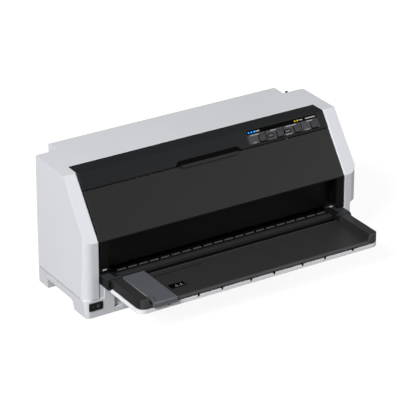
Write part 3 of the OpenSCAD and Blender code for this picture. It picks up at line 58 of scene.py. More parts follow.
# The sloped front: its foot, its rise over its run, the ways up it and out of it, and how far
# up it the control band ends and the cover begins.
SLOPE_FOOT = 120.75
SLOPE_ANGLE = math.atan2(85.25, 62.3)
SLOPE_START = Vector((0.0, ROW_SHIFT, SLOPE_FOOT))
UP_SLOPE = Vector((0.0, math.cos(SLOPE_ANGLE), math.sin(SLOPE_ANGLE)))
OFF_SLOPE = Vector((0.0, -math.sin(SLOPE_ANGLE), math.cos(SLOPE_ANGLE)))
BAND_EDGE = 77.59


# A zone is a direction and the distance along it from which it starts.
def above(z):
    return UP, z


def under(z):
    return DOWN, -z


def before(y):
    return FORWARD, -(y + ROW_SHIFT)


def behind(y):
    return BACKWARD, y + ROW_SHIFT


# ---- materials ---------------------------------------------------------------------

# Sockets of a colour mix: its factor, both colours and the result.
FACTOR, FIRST, SECOND, RESULT = 0, 6, 7, 2


def linear(hex_colour, share=1.0):
    """sRGB hex to the linear colour that a shader takes, lighter or darker by a share."""
    parts = [int(hex_colour[i : i + 2], 16) / 255 for i in (1, 3, 5)]
    parts = [p / 12.92 if p <= 0.04045 else ((p + 0.055) / 1.055) ** 2.4 for p in parts]
    return tuple(min(1.0, p * share) for p in parts) + (1.0,)


def repeat_of(size_mm):
    """Scale of a pattern whose forms are this far apart."""
    return 1 / (size_mm * MM)


def add(tree, kind, inputs=None, stops=(), **settings):
    """Adds one node with its settings, values or links for its inputs, and a ramp's two stops."""
    made = tree.nodes.new(kind)
    for name, value in settings.items():
        setattr(made, name, value)
    for name, value in (inputs or {}).items():
        if isinstance(value, bpy.types.NodeSocket):
            tree.links.new(value, made.inputs[name])
        else:
            made.inputs[name].default_value = value
    if stops:
        for element, (position, colour) in zip(made.color_ramp.elements, stops):
            element.position, element.color = position, colour
    return made


def finish_for(name, colour, roughness, **shader):
    """A new material: returns it with its tree, its shader and its object coordinates."""
    made = bpy.data.materials.new(name)
    made.use_nodes = True
    tree = made.node_tree
    body = tree.nodes["Principled BSDF"]
    body.inputs["Base Color"].default_value = linear(colour)
    body.inputs["Roughness"].default_value = roughness
    for socket, value in shader.items():
        body.inputs[socket.replace("_", " ")].default_value = value
    made.diffuse_color = linear(colour)
    return made, tree, body, add(tree, "ShaderNodeTexCoord").outputs["Object"]


def beyond(tree, place, along, start_mm, blend_mm=0.08):
    """0 to 1 as a point passes a distance along a direction."""
    reach = add(tree, "ShaderNodeVectorMath", {0: place, 1: along}, operation="DOT_PRODUCT")
    return add(
        tree,
        "ShaderNodeMapRange",
        {
            "Value": reach.outputs["Value"],
            "From Min": (start_mm - blend_mm) * MM,
            "From Max": (start_mm + blend_mm) * MM,
        },
    ).outputs["Result"]


def painted(tree, place, surface, zones):
    """Takes a surface's colour over to each zone's colour inside that zone; most zones paint light
    or shade.
    """
    for (along, start_mm), zone_colour in zones:
        surface = add(
            tree,
            "ShaderNodeMix",
            {
                FACTOR: beyond(tree, place, along, start_mm),
                FIRST: surface,
                SECOND: linear(zone_colour),
            },
            data_type="RGBA",
        ).outputs[RESULT]
    return surface


def relief(tree, body, height, depth_mm, strength, edge_mm):
    """Raises a pattern on the skin and eases sharp edges, as a tool's parting edge leaves them."""
    eased = add(tree, "ShaderNodeBevel", {"Radius": edge_mm * MM}, samples=4)
    bump = add(
        tree,
        "ShaderNodeBump",
        {
            "Height": height,
            "Distance": depth_mm * MM,
            "Strength": strength,
            "Normal": eased.outputs["Normal"],
        },
    )
    tree.links.new(bump.outputs["Normal"], body.inputs["Normal"])


def moulded_plastic(
    name, colour, roughness, grain_mm, depth_mm, edge_mm=0.7, tone=0.04, zones=(), **shader
):
    """Injection-moulded plastic: spark-eroded grain, a slow drift in tone and eased edges.

    Each zone comes with the colour that is painted in it: painted light or shade in most finishes,
    print in the panel's film.
    """
    drift_mm = 90.0
    made, tree, body, place = finish_for(name, colour, roughness, **shader)
    grain = add(
        tree,
        "ShaderNodeTexNoise",
        {"Vector": place, "Scale": repeat_of(grain_mm), "Detail": 2.0, "Roughness": 0.6},
    ).outputs["Fac"]
    drift = add(
        tree, "ShaderNodeTexNoise", {"Vector": place, "Scale": repeat_of(drift_mm), "Detail": 3.0}
    ).outputs["Fac"]
    surface = add(
        tree,
        "ShaderNodeValToRGB",
        {"Fac": drift},
        stops=((0.3, linear(colour, 1 - tone)), (0.7, linear(colour, 1 + tone))),
    ).outputs["Color"]
    tree.links.new(painted(tree, place, surface, zones), body.inputs["Base Color"])
    relief(tree, body, grain, depth_mm, 0.6, edge_mm)
    rough = add(
        tree,
        "ShaderNodeMapRange",
        {
            "Value": grain,
            "From Min": 0.3,
            "From Max": 0.7,
            "To Min": roughness * 0.92,
            "To Max": roughness * 1.08,
        },
    )
    tree.links.new(rough.outputs["Result"], body.inputs["Roughness"])
    return made


def worn_metal(name, colour, roughness, streak_mm, along, edge_mm=0.3):
    """Rolled or ground metal: fine streaks that run along one axis."""
    streak_depth_mm = 0.01
    made, tree, body, place = finish_for(name, colour, roughness, Metallic=1.0)
    stretch = [1.0, 1.0, 1.0]
    stretch["XYZ".index(along)] = 0.04
    turned = add(tree, "ShaderNodeMapping", {"Vector": place, "Scale": stretch})
    streaks = add(
        tree,
        "ShaderNodeTexNoise",
        {"Vector": turned.outputs["Vector"], "Scale": repeat_of(streak_mm), "Detail": 3.0},
    ).outputs["Fac"]
    surface = add(
        tree,
        "ShaderNodeValToRGB",
        {"Fac": streaks},
        stops=((0.35, linear(colour, 0.82)), (0.65, linear(colour))),
    )
    tree.links.new(surface.outputs["Color"], body.inputs["Base Color"])
    rough = add(
        tree,
        "ShaderNodeMapRange",
        {"Value": streaks, "To Min": roughness * 0.75, "To Max": roughness * 1.25},
    )
    tree.links.new(rough.outputs["Result"], body.inputs["Roughness"])
    relief(tree, body, streaks, streak_depth_mm, 0.5, edge_mm)
    return made


def tray_charcoal():
    """Charcoal ABS that paper slides over: fine rubs along its way, faces that look up painted
    lighter as lit tops, and painted highlights along the front lip and the rear edge.
    """
    rub_mm, grain_mm, grain_depth_mm = 2.2, 0.9, 0.02
    made, tree, body, place = finish_for(
        "charcoal_tray_abs", "#262627", 0.42, Specular_IOR_Level=0.3
    )
    turned = add(tree, "ShaderNodeMapping", {"Vector": place, "Scale": (1.0, 0.06, 1.0)})
    rubs = add(
        tree,
        "ShaderNodeTexNoise",
        {"Vector": turned.outputs["Vector"], "Scale": repeat_of(rub_mm), "Detail": 4.0},
    ).outputs["Fac"]
    grain = add(
        tree, "ShaderNodeTexNoise", {"Vector": place, "Scale": repeat_of(grain_mm), "Detail": 2.0}
    ).outputs["Fac"]
    rubbed_lit_tops = add(
        tree,
        "ShaderNodeValToRGB",
        {"Fac": rubs},
        stops=((0.42, linear("#2a2a2a")), (0.72, linear("#302f2f"))),
    ).outputs["Color"]
    # Faces that look up are painted lighter, as lit tops, and carry the rubs; the sides keep a
    # plain, darker tone. A face looks up where its normal, 1000 mm long, reaches over 900 mm up.
    normal = add(tree, "ShaderNodeTexCoord").outputs["Normal"]
    surface = add(
        tree,
        "ShaderNodeMix",
        {FACTOR: beyond(tree, normal, UP, 900, 50), FIRST: linear("#242425"), SECOND: rubbed_lit_tops},
        data_type="RGBA",
    ).outputs[RESULT]
    # Painted highlights: a lighter strip along the table's front lip and along its rear edge.
    edge_highlights = ((before(-98.5), "#434345"), (behind(-18.0), "#4c4c4e"))
    tree.links.new(painted(tree, place, surface, edge_highlights), body.inputs["Base Color"])
    rough = add(
        tree,
        "ShaderNodeMapRange",
        {"Value": rubs, "From Min": 0.35, "From Max": 0.7, "To Min": 0.46, "To Max": 0.36},
    )
    tree.links.new(rough.outputs["Result"], body.inputs["Roughness"])
    relief(tree, body, grain, grain_depth_mm, 0.5, 0.8)
    return made


def clear_lens(name, colour, glow):
    """Tinted lens over a lit lamp: bright middle, darker rim."""
    made, tree, body, _ = finish_for(name, colour, 0.12, Coat_Weight=0.6)
    edge_on = add(tree, "ShaderNodeLayerWeight", {"Blend": 0.35}).outputs["Facing"]
    surface = add(
        tree,
        "ShaderNodeValToRGB",
        {"Fac": edge_on},
        stops=((0.1, linear(colour)), (0.9, linear(colour, 0.45))),
    )
    tree.links.new(surface.outputs["Color"], body.inputs["Base Color"])
    body.inputs["Emission Color"].default_value = linear(colour)
    body.inputs["Emission Strength"].default_value = glow
    return made


def circuit_board():
    """Green solder mask over glass laminate, with lighter copper tracks."""
    mask, track, track_mm = "#17482c", "#2c6a45", 9.0
    made, tree, body, place = finish_for("green_board", mask, 0.34, Coat_Weight=0.3)
    turned = add(
        tree, "ShaderNodeMapping", {"Vector": place, "Rotation": (0.0, 0.0, 0.785)}
    ).outputs["Vector"]
    tracks = add(
        tree,
        "ShaderNodeTexBrick",
        {"Vector": turned, "Scale": repeat_of(track_mm), "Mortar Size": 0.06},
        offset=0.35,
    ).outputs["Fac"]
    surface = add(
        tree,
        "ShaderNodeValToRGB",
        {"Fac": tracks},
        stops=((0.2, linear(mask)), (0.8, linear(track))),
    )
    tree.links.new(surface.outputs["Color"], body.inputs["Base Color"])
    eased = add(tree, "ShaderNodeBevel", {"Radius": 0.2 * MM}, samples=4)
    tree.links.new(eased.outputs["Normal"], body.inputs["Normal"])
    return made


def woven_ribbon():
    """Inked nylon: fine weave, wet black where it has printed."""
    thread_mm, thread_depth_mm = 0.8, 0.05
    made, tree, body, place = finish_for("inked_nylon", "#0b0b0c", 0.7)
    weave = add(
        tree,
        "ShaderNodeTexWave",
        {"Vector": place, "Scale": repeat_of(thread_mm), "Distortion": 0.4},
        bands_direction="X",
    ).outputs["Fac"]
    surface = add(
        tree,
        "ShaderNodeValToRGB",
        {"Fac": weave},
        stops=((0.2, linear("#070708")), (0.8, linear("#151517"))),
    )
    tree.links.new(surface.outputs["Color"], body.inputs["Base Color"])
    bump = add(tree, "ShaderNodeBump", {"Height": weave, "Distance": thread_depth_mm * MM})
    tree.links.new(bump.outputs["Normal"], body.inputs["Normal"])
    return made


# One finish for each material slot of the record.
FINISHES = {
    # Cool white ABS with a fine matt grain: soft and even, with faint cloudy tone.
    "white_plastic": moulded_plastic(
        "white_abs", "#dddfe4", 0.52, 0.9, 0.03, edge_mm=0.9, tone=0.012
    ),
    # Polished blue-black ABS: a clear but faint mirror. Its lower edge over the cover is painted
    # black: painted shade of the gap between band and cover.
    "black_gloss_band": moulded_plastic(
        "black_trim_abs", "#131517", 0.24, 1.4, 0.006, edge_mm=1.4, tone=0.05,
        zones=(((-UP_SLOPE, -(UP_SLOPE.dot(SLOPE_START) + BAND_EDGE + 1.6)), "#020203"),),
        Specular_IOR_Level=0.28,
    ),
    # Charcoal ABS with a satin skin: a broad soft sheen on the slope. Below the slope's foot, in
    # the recess under its overhang, it is painted near black: painted shade.
    "dark_cover": moulded_plastic(
        "charcoal_cover_abs", "#181818", 0.36, 1.1, 0.015, edge_mm=1.2, tone=0.05,
        zones=((under(SLOPE_FOOT - 0.4), "#060607"),), Specular_IOR_Level=0.33,
    ),
    "tray_black": tray_charcoal(),
    # Matt black ABS: flat and deep, with soft edges.
    "black_plastic": moulded_plastic(
        "black_abs", "#1b1c1d", 0.45, 0.9, 0.02, tone=0.06, Specular_IOR_Level=0.35
    ),
    # Printed film: charcoal fields for the buttons, black round them and behind the lamps.
    "panel_grey": moulded_plastic(
        "panel_film", "#020202", 0.34, 0.7, 0.006, edge_mm=0.3,
        zones=(((OFF_SLOPE, OFF_SLOPE.dot(SLOPE_START) - 0.15), "#4e4e50"),),
        Specular_IOR_Level=0.03,
    ),
    # Dark grey ABS caps, a shade deeper than the fields round them, with soft light edges.
    "button_grey": moulded_plastic(
        "button_abs", "#3c3d3f", 0.4, 0.6, 0.01, edge_mm=0.6, Specular_IOR_Level=0.2
    ),
    # Blue-grey ABS with a silky skin. The front face, which fingers push, is painted lighter as
    # the light falls on it: painted light.
    "guide_grey": moulded_plastic(
        "grey_abs", "#55575c", 0.42, 0.9, 0.02, edge_mm=0.7, tone=0.05,
        zones=((before(-105.0), "#63656b"),),
    ),
    # Black strip whose pads are pale along their tops.
    "pad_grey": moulded_plastic(
        "pad_abs", "#141415", 0.4, 0.7, 0.02, edge_mm=0.3, tone=0.05,
        zones=((above(64.1), "#48494b"),),
    ),
    # Dark grey nylon of the sockets: dry and dull.
    "socket_grey": moulded_plastic("socket_nylon", "#3c3d40", 0.5, 0.8, 0.02, edge_mm=0.3),
    # Acetal of the pinch rollers: mid grey and smooth, with a dull shine.
    "pinch_grey": moulded_plastic("pinch_acetal", "#77787a", 0.35, 0.8, 0.01, edge_mm=0.4),
    # Natural nylon: milky cream, a slight waxy sheen.
    "nylon": moulded_plastic(
        "natural_nylon", "#ddd7c4", 0.38, 1.2, 0.01, edge_mm=0.3, Subsurface_Weight=0.1
    ),
    # Matt rubber of rollers, feet and belt: fine specks and no clear highlight.
    "rubber": moulded_plastic("black_rubber", "#1c1c1d", 0.82, 0.7, 0.04, edge_mm=0.4, tone=0.12),
    # Zinc-plated sheet: dull grey with faint rolling marks.
    "steel": worn_metal("zinc_plated_sheet", "#b7babd", 0.38, 1.6, "Z"),
    # Ground shaft: bright. Streaks round the bar are too fine to see, so they run along it.
    "bright_shaft": worn_metal("ground_steel", "#d3d5d7", 0.14, 1.0, "X"),
    # Turned brass of the pinion and the drive pulley: warm yellow, a clear but streaky shine.
    "brass": worn_metal("turned_brass", "#c39b4c", 0.28, 0.8, "X"),
    # Dark zinc coat of the motor cans: grey with a broad dull glare.
    "motor_metal": worn_metal("zinc_dark", "#5b5d60", 0.42, 1.4, "X"),
    # Cast aluminium of the print head: pale grey and dry, with soft edges.
    "head_alloy": worn_metal("cast_aluminium", "#8b8d90", 0.5, 1.2, "Z", edge_mm=0.5),
    # Clear acrylic over lit lamps: the blue ones glow, the yellow ones are nearly out.
    "blue_lens": clear_lens("blue_lens", "#1b8cf0", 1.25),
    "yellow_lens": clear_lens("yellow_lens", "#b5a106", 0.5),
    "board_green": circuit_board(),
    "ink_fabric": woven_ribbon(),
}

# Nodes with a finish of their own.
OWN_FINISHES = {
    # Black ABS of the brackets: deep at their sides, greyer on the flat tops that catch the light.
    "tray_brackets": moulded_plastic(
        "bracket_abs", "#131415", 0.4, 0.9, 0.02, edge_mm=1.0, tone=0.06,
        zones=((above(66.6), "#313234"),), Specular_IOR_Level=0.14,
    ),
    # Charcoal bar of the guide; before it and behind it the guide stays in the dark of the works.
    "front_guide": moulded_plastic(
        "guide_abs", "#2b2c2d", 0.5, 0.9, 0.02, tone=0.06,
        zones=((behind(3.0), "#030304"), (before(-7.2), "#08080a")), Specular_IOR_Level=0.05,
    ),
    # A lighter copy of the case's white, as painted light: the shell's thin front edge reads as
    # one bright line below the lip.
    "tray_shell": moulded_plastic(
        "shell_abs", "#f4f5f8", 0.5, 0.9, 0.03, edge_mm=0.9, tone=0.012
    ),
}

for part in frame["record"]["subparts"]:
    shown = frame["nodes"][part["node"]]
    shown.data.materials.clear()
    shown.data.materials.append(OWN_FINISHES.get(part["node"]) or FINISHES[part["material_slot"]])

# Finishes of the pieces that are drawn below.
# Screen-printed inks: flat and matt, a little uneven where the screen pressed less.
pale_ink = moulded_plastic("pale_ink", "#a9aaac", 0.55, 0.5, 0.004, edge_mm=0.05, tone=0.08)
dim_ink = moulded_plastic("dim_ink", "#66676a", 0.55, 0.5, 0.004, edge_mm=0.05, tone=0.08)
# The black ink is also painted shade: on the floor of the finger notch and in the wide strips left
# of and below the buttons.
black_ink_and_shade = moulded_plastic(
    "black_ink_and_shade", "#010101", 0.6, 0.5, 0.004, edge_mm=0.05, tone=0.05, Specular_IOR_Level=0.05
)
# Charcoal film inside the ovals: the tone of the fields, with a slight shine.
oval_film = moulded_plastic("oval_film", "#4b4b4d", 0.34, 0.7, 0.006)
# Pale nickel with a soft glare on its edges, far less metallic than the steel: painted glints,
# bright from any side, where the frames' steel catches the light.
glint_nickel = moulded_plastic(
    "glint_nickel", "#d6d7d9", 0.3, 0.6, 0.004, edge_mm=0.15, Metallic=0.3
)
# Shade between the two halves of the case: a dark line round the sides, without any shine.
seam_shade = moulded_plastic(
    "seam_shade", "#303132", 0.8, 0.9, 0.01, edge_mm=0.1, Specular_IOR_Level=0.1
)
# Pale ABS of painted highlights: thin bright lines along the edge guide's rim and front edge.
highlight_abs = moulded_plastic("highlight_abs", "#93959a", 0.4, 0.9, 0.01)
# Black epoxy of chips: dull and even.
epoxy = moulded_plastic("black_epoxy", "#161617", 0.5, 0.6, 0.01, edge_mm=0.15, tone=0.05)
# Aluminium can of a capacitor: brushed, bright.
can_alloy = worn_metal("can_alloy", "#a6a9ac", 0.3, 0.6, "Z")
# Tinned legs and contacts: bright and slightly warm.
tin = worn_metal("tinned_copper", "#c9c8c2", 0.25, 0.5, "X", edge_mm=0.1)
# Cream nylon of wire-to-board headers: even, with a dull shine.
header_nylon = moulded_plastic("header_nylon", "#d9d4c3", 0.45, 0.8, 0.01, edge_mm=0.2)


# ---- drawing pieces, in mm -----------------------------------------------------------

FLAT = Matrix.Identity(4)
TO_SCENE = Matrix.Scale(MM, 4) @ Matrix.Translation((0.0, ROW_SHIFT, 0.0))
SHARP_FROM = math.radians(40)


def facing(place, across, up):
    """A stand on a face: its first axis runs across, its second up, its third out of the face."""
    across, up = Vector(across).normalized(), Vector(up).normalized()
    axes = Matrix((across, up, across.cross(up))).transposed().to_4x4()
    return Matrix.Translation(place) @ axes


def on_slope(x, s):
    """A stand on the sloped front: across, up the slope, out of it."""
    return facing(Vector((x, 0.0, SLOPE_FOOT)) + UP_SLOPE * s, (1, 0, 0), UP_SLOPE)


def top_of(x, y, z):
    """A stand on a face that looks up."""
    return facing((x, y, z), (1, 0, 0), (0, 1, 0))


def front_of(x, y, z):
    """A stand on a face that looks forward."""
    return facing((x, y, z), (1, 0, 0), UP)


def rear_of(x, y, z):
    """A stand on a face that looks back."""
    return facing((x, y, z), (-1, 0, 0), UP)


def below(x, y, z):
    """A stand on a face that looks down."""
    return facing((x, y, z), (1, 0, 0), (0, -1, 0))


def beside(x, y, z, side):
    """A stand on a face that looks to the right for 1 and to the left for -1."""
    return facing((x, y, z), (0, side, 0), UP)


def drawn(name, body, slot, draw, finish=None):
    """Makes a piece from what draw() puts in a mesh, in the finish of its slot or its own."""
    mesh = bmesh.new()
    draw(mesh)
    bmesh.ops.recalc_face_normals(mesh, faces=mesh.faces)
    bmesh.ops.transform(mesh, matrix=TO_SCENE, verts=mesh.verts)
    data = bpy.data.meshes.new(name)
    mesh.to_mesh(data)
    mesh.free()
    data.shade_smooth()
    data.set_sharp_from_angle(angle=SHARP_FROM)
    data.materials.append(finish or FINISHES[slot])
    made = bpy.data.objects.new(name, data)
    bpy.context.scene.collection.objects.link(made)
    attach(made, body)


def span(middle, half):
    """The range that reaches as far to both sides of a middle."""
    return middle - half, middle + half


def edges_at(verts):
    """The edges that meet at some points, once each and in the same order each run."""
    return list(dict.fromkeys(edge for vert in verts for edge in vert.link_edges))


def block(mesh, x, y, z, stand=FLAT, ease=0.0):
    """A block between two corners, each given as a range, its edges eased."""
    low, high = Vector((x[0], y[0], z[0])), Vector((x[1], y[1], z[1]))
    size = Matrix.Diagonal((*(high - low), 1.0))
    place = stand @ Matrix.Translation((low + high) / 2) @ size
    corners = bmesh.ops.create_cube(mesh, size=1.0, matrix=place)["verts"]
    if ease:
        edges = edges_at(corners)
        bmesh.ops.bevel(
            mesh, geom=edges, offset=ease, offset_type="OFFSET", segments=2, profile=0.5,
            affect="EDGES", material=-1,
        )


def rod(mesh, foot, length, radius, stand=FLAT, around=20):
    """A round bar on its foot, along the stand's third axis."""
    place = stand @ Matrix.Translation(Vector(foot) + Vector((0.0, 0.0, length / 2)))
    bmesh.ops.create_cone(
        mesh, cap_ends=True, segments=around, radius1=radius, radius2=radius, depth=length,
        matrix=place,
    )


def rim_through(mesh, corners, stand, filled):
    """A closed loop through corners on a stand; gives its edges."""
    loop = bmesh.ops.create_circle(mesh, cap_ends=filled, segments=len(corners), radius=1.0)
    for vert, corner in zip(loop["verts"], corners):
        vert.co = stand @ Vector(corner)
    return edges_at(loop["verts"])


def prism(mesh, outline, z0, z1, stand=FLAT):
    """A flat outline raised from one height to another."""
    edges = rim_through(mesh, [(x, y, z0) for x, y in outline], stand, True)
    raised = bmesh.ops.extrude_face_region(mesh, geom=[edges[0].link_faces[0]])["geom"]
    verts = [item for item in raised if isinstance(item, bmesh.types.BMVert)]
    rise = stand.to_3x3() @ Vector((0.0, 0.0, z1 - z0))
    bmesh.ops.translate(mesh, verts=verts, vec=rise)


def skirt(mesh, edges, stand, grow, drop):
    """Draws a rim outwards by a factor and down by a distance; gives the new rim."""
    made = bmesh.ops.extrude_edge_only(mesh, edges=edges)["geom"]
    verts = [item for item in made if isinstance(item, bmesh.types.BMVert)]
    shift = Matrix.Translation((0.0, 0.0, -drop)) @ Matrix.Diagonal((grow, grow, 1.0, 1.0))
    bmesh.ops.transform(mesh, matrix=stand @ shift @ stand.inverted(), verts=verts)
    rims = [item for item in made if isinstance(item, bmesh.types.BMEdge)]
    return [edge for edge in rims if set(edge.verts) <= set(verts)]


def oval(width, height, around=16):
    """Outline of a slot with round ends, or of a circle."""
    r = min(width, height) / 2
    ends = Vector((width / 2 - r, height / 2 - r))
    turns = [2 * math.pi * i / around for i in range(around)]
    ways = [(math.cos(turn), math.sin(turn)) for turn in turns]
    return [
        (r * cos + math.copysign(ends.x, cos), r * sin + math.copysign(ends.y, sin))
        for cos, sin in ways
    ]


def screw(mesh, stand, radius=2.8, height=1.8):
    """Pan-head screw with a cross recess, its forms in shares of its radius and height."""
    arm, half = 0.6 * radius, 0.13 * radius
    cross = [(arm, -half), (arm, half), (half, half), (half, arm), (-half, arm), (-half, half)]
    cross += [(-x, -y) for x, y in cross]
    crown = oval(1.5 * radius, 1.5 * radius)
    inner = rim_through(mesh, [(x, y, height) for x, y in cross], stand, False)
    top = rim_through(mesh, [(x, y, height) for x, y in crown], stand, False)
    bmesh.ops.triangle_fill(mesh, use_beauty=True, edges=inner + top)
    side = skirt(mesh, top, stand, 1.22, height * 0.22)
    side = skirt(mesh, side, stand, 1.09, height * 0.3)
    skirt(mesh, side, stand, 1.0, height * 0.48)
    floor = skirt(mesh, inner, stand, 0.8, height * 0.7)
    bmesh.ops.contextual_create(mesh, geom=floor)


def washer(mesh, stand, outer, inner, height):
    """A flat ring that lies on a face."""
    hole = oval(2 * inner, 2 * inner, 24)
    lower = rim_through(mesh, [(x, y, 0.0) for x, y in hole], stand, False)
    out = skirt(mesh, lower, stand, outer / inner, 0.0)
    up = skirt(mesh, out, stand, 1.0, -height)
    top = skirt(mesh, up, stand, inner / outer, 0.0)
    skirt(mesh, top, stand, 1.0, height)
    bmesh.ops.remove_doubles(mesh, verts=mesh.verts, dist=0.001)


# ---- marks, trim, painted shade and painted highlights seen from the front -------------

# The rocker's axis, its tilt at rest, and how wide and how steep each half of its face is.
ROCKER_AXIS = Vector((-222.5, 2.5, 19.2))
ROCKER_TILT = Matrix.Rotation(math.radians(-8), 4, "Z")
ROCKER_HALF, ROCKER_RISE, ROCKER_FACE = 8.1, 1.6, -2.4
MARK_REACH = 1.9


def rocker_marks(mesh):
    """A bar and a ring in relief, one on each half of the rocker."""
    for side in (-1, 1):
        middle = (side * ROCKER_HALF / 2, ROCKER_FACE, 0.0)
        along = (ROCKER_HALF, -side * ROCKER_RISE, 0.0)
        face = Matrix.Translation(ROCKER_AXIS) @ ROCKER_TILT @ facing(middle, along, UP)
        if side < 0:
            block(mesh, span(0, 0.28), span(0, MARK_REACH), (-0.2, 0.1), face)
        else:
            washer(mesh, face @ Matrix.Translation((0, 0, -0.1)), MARK_REACH, 1.35, 0.2)


drawn("rocker_marks", "power_rocker", "black_plastic", rocker_marks, dim_ink)

# The control panel: its stand, the width of a field, and the buttons' places. Each button's
# middle lies BUTTON_INSET from the right of its share of the panel, and its hole's edge
# BUTTON_HALF from its middle.
PANEL = on_slope(137.6, 91.79)
FIELD_W = 31.825
BUTTON_PITCH, BUTTON_INSET = 31.3, 8.0
BUTTONS_U = [(i - 1.5) * BUTTON_PITCH + FIELD_W / 2 - BUTTON_INSET for i in range(4)]
BUTTON_V, BUTTON_HALF = -3.8, 5.25
OVALS = [PANEL @ Matrix.Translation((u, -4.0, 0.0)) for u in (-24.0, 6.6)]

# Plain bars where a panel carries its captions: start, end, height on the panel, thickness and
# level. The first three lie in the lamps' row, where the panel is deeper.
CAPTIONS = (
    (-47.6, -40.0, 7.8, 1.5, -0.3),
    (31.2, 37.6, 7.8, 1.5, -0.3),
    (42.6, 60.8, 7.8, 1.7, -0.3),
    (-58.6, -43.4, 3.0, 1.2, 0.0),
    (-56.8, -50.6, -8.9, 0.9, 0.0),
    (-22.4, -12.4, 3.0, 1.2, 0.0),
    (5.6, 24.0, 3.0, 1.2, 0.0),
    (1.4, 12.0, -8.9, 0.9, 0.0),
    (43.0, 53.6, 3.0, 1.2, 0.0),
    (36.2, 44.4, -8.9, 0.9, 0.0),
)


def panel_captions(mesh):
    for start, end, v, thick, level in CAPTIONS:
        block(mesh, (start, end), span(v, thick / 2), (level - 0.1, level + 0.06), PANEL)


def panel_ovals(mesh):
    """Black ovals left of the two middle buttons, and a dot before a caption."""
    for stand in OVALS:
        prism(mesh, oval(12.4, 6.4, 24), -0.1, 0.05, stand)
    rod(mesh, (39.0, 3.0, -0.1), 0.16, 0.8, PANEL)


def oval_fields(mesh):
    """Grey middles of the ovals."""
    for stand in OVALS:
        prism(mesh, oval(9.2, 3.6, 24), -0.1, 0.08, stand)


def oval_bars(mesh):
    """A bar in the middle of each oval."""
    for stand in OVALS:
        block(mesh, span(0, 2.6), span(0, 0.5), (0.0, 0.11), stand)


def panel_gaps_and_shadows(mesh):
    """Black lines between the four fields and round the buttons; the heavier strips, to the left
    of and below each button, are painted shadow.
    """
    for i in (-1, 0, 1):
        block(mesh, span(i * FIELD_W, 0.35), (-10.4, 4.4), (-0.4, -0.05), PANEL)
    near, level = BUTTON_HALF, (-0.05, 0.04)
    for u in BUTTONS_U:
        # The first strip of each pair, the wider one left of and below the button, is painted
        # shadow.
        for start, end in ((-near - 1.4, -near), (near, near + 0.5)):
            tall = (BUTTON_V - near - 1.2, BUTTON_V + near + 0.4)
            block(mesh, (u + start, u + end), tall, level, PANEL)
            block(mesh, span(u, near), (BUTTON_V + start, BUTTON_V + end), level, PANEL)


drawn("panel_captions", "chassis", "panel_grey", panel_captions, pale_ink)
drawn("panel_ovals", "chassis", "panel_grey", panel_ovals, black_ink_and_shade)
drawn("oval_fields", "chassis", "panel_grey", oval_fields, oval_film)
drawn("oval_bars", "chassis", "panel_grey", oval_bars, dim_ink)
drawn("panel_gaps_and_shadows", "chassis", "panel_grey", panel_gaps_and_shadows, black_ink_and_shade)


def notch_shade(mesh):
    """Painted shade on the bottom of the finger notch, in the band over the cover's upper edge."""
    notch = [(-57.6, 0.3), (57.6, 0.3), (51.0, 6.7), (-51.0, 6.7)]
    prism(mesh, notch, -2.0, -1.9, on_slope(0.0, BAND_EDGE))


def glint_clip(mesh):
    """Painted glint: a bright plate at the foot of the cover's left edge, where steel catches the
    light.
    """
    block(mesh, (-209.8, -203.2), (-0.3, 0.1), (73.2, 75.3), ease=0.08)


def glint_caps(mesh):
    """Painted glints: bright caps over the tongues of the side frames, one at each end of the
    paper slot.
    """
    for side in (-1, 1):
        block(mesh, span(side * 200.5, 5.3), (9.7, 11.6), (67.1, 68.55), ease=0.1)


def case_seam(mesh):
    """Painted shade: strips that lie on the lower case's rim, inside the gap below the upper case.
    """
    for side in (-1, 1):
        block(mesh, span(side * 239.46, 0.46), (15.0, 138.0), (29.15, 29.36))


drawn("notch_shade", "chassis", "black_gloss_band", notch_shade, black_ink_and_shade)
drawn("glint_clip", "front_cover", "steel", glint_clip, glint_nickel)
drawn("glint_caps", "chassis", "steel", glint_caps, glint_nickel)
drawn("case_seam", "chassis", "white_plastic", case_seam, seam_shade)

# Where the sheet's edge mark lies on the table, just right of the edge guide.
SIGN = top_of(-126.0, -69.0, 58.0)
SIGN_MARK = (0.0, 0.18)


def sign_plate(mesh):
    """Black ground of the sheet's edge mark."""
    block(mesh, span(0, 13.0), span(0, 6.6), (-0.25, 0.12), SIGN, 0.08)


def sign_marks(mesh):
    """Two ticks with feet over a dashed line."""
    for x in (-1.5, 6.5):
        block(mesh, span(x, 0.4), (-1.4, 2.2), SIGN_MARK, SIGN)
        block(mesh, span(x, 1.4), (-1.4, -0.7), SIGN_MARK, SIGN)
    for i in range(5):
        block(mesh, span(-4.9 + i * 3.6, 1.1), (-3.6, -3.0), SIGN_MARK, SIGN)


def lip_hooks(mesh):
    """Short black hooks of the table that grip the white shell's upper edge."""
    for x in (20.0, 70.0, 110.0, 160.0):
        for side in (-1, 1):
            block(mesh, span(side * x, 1.3), (-102.3, -97.9), (50.2, 54.6), ease=0.2)


def guide_rim_highlights(mesh):
    """Painted highlights: pale lines on the edge guide's left rim and front edge."""
    block(mesh, (-186.45, -185.15), (-102.6, -15.2), (62.7, 62.92), ease=0.05)
    block(mesh, (-184.0, -148.2), (-105.6, -105.0), (61.2, 61.5), ease=0.05)


drawn("table_sign", "chassis", "tray_black", sign_plate, black_ink_and_shade)
drawn("table_sign_marks", "chassis", "tray_black", sign_marks, pale_ink)
drawn("lip_hooks", "chassis", "tray_black", lip_hooks, black_ink_and_shade)
drawn("guide_rim_highlights", "edge_guide", "guide_grey", guide_rim_highlights, highlight_abs)


# ---- fastenings ------------------------------------------------------------------------

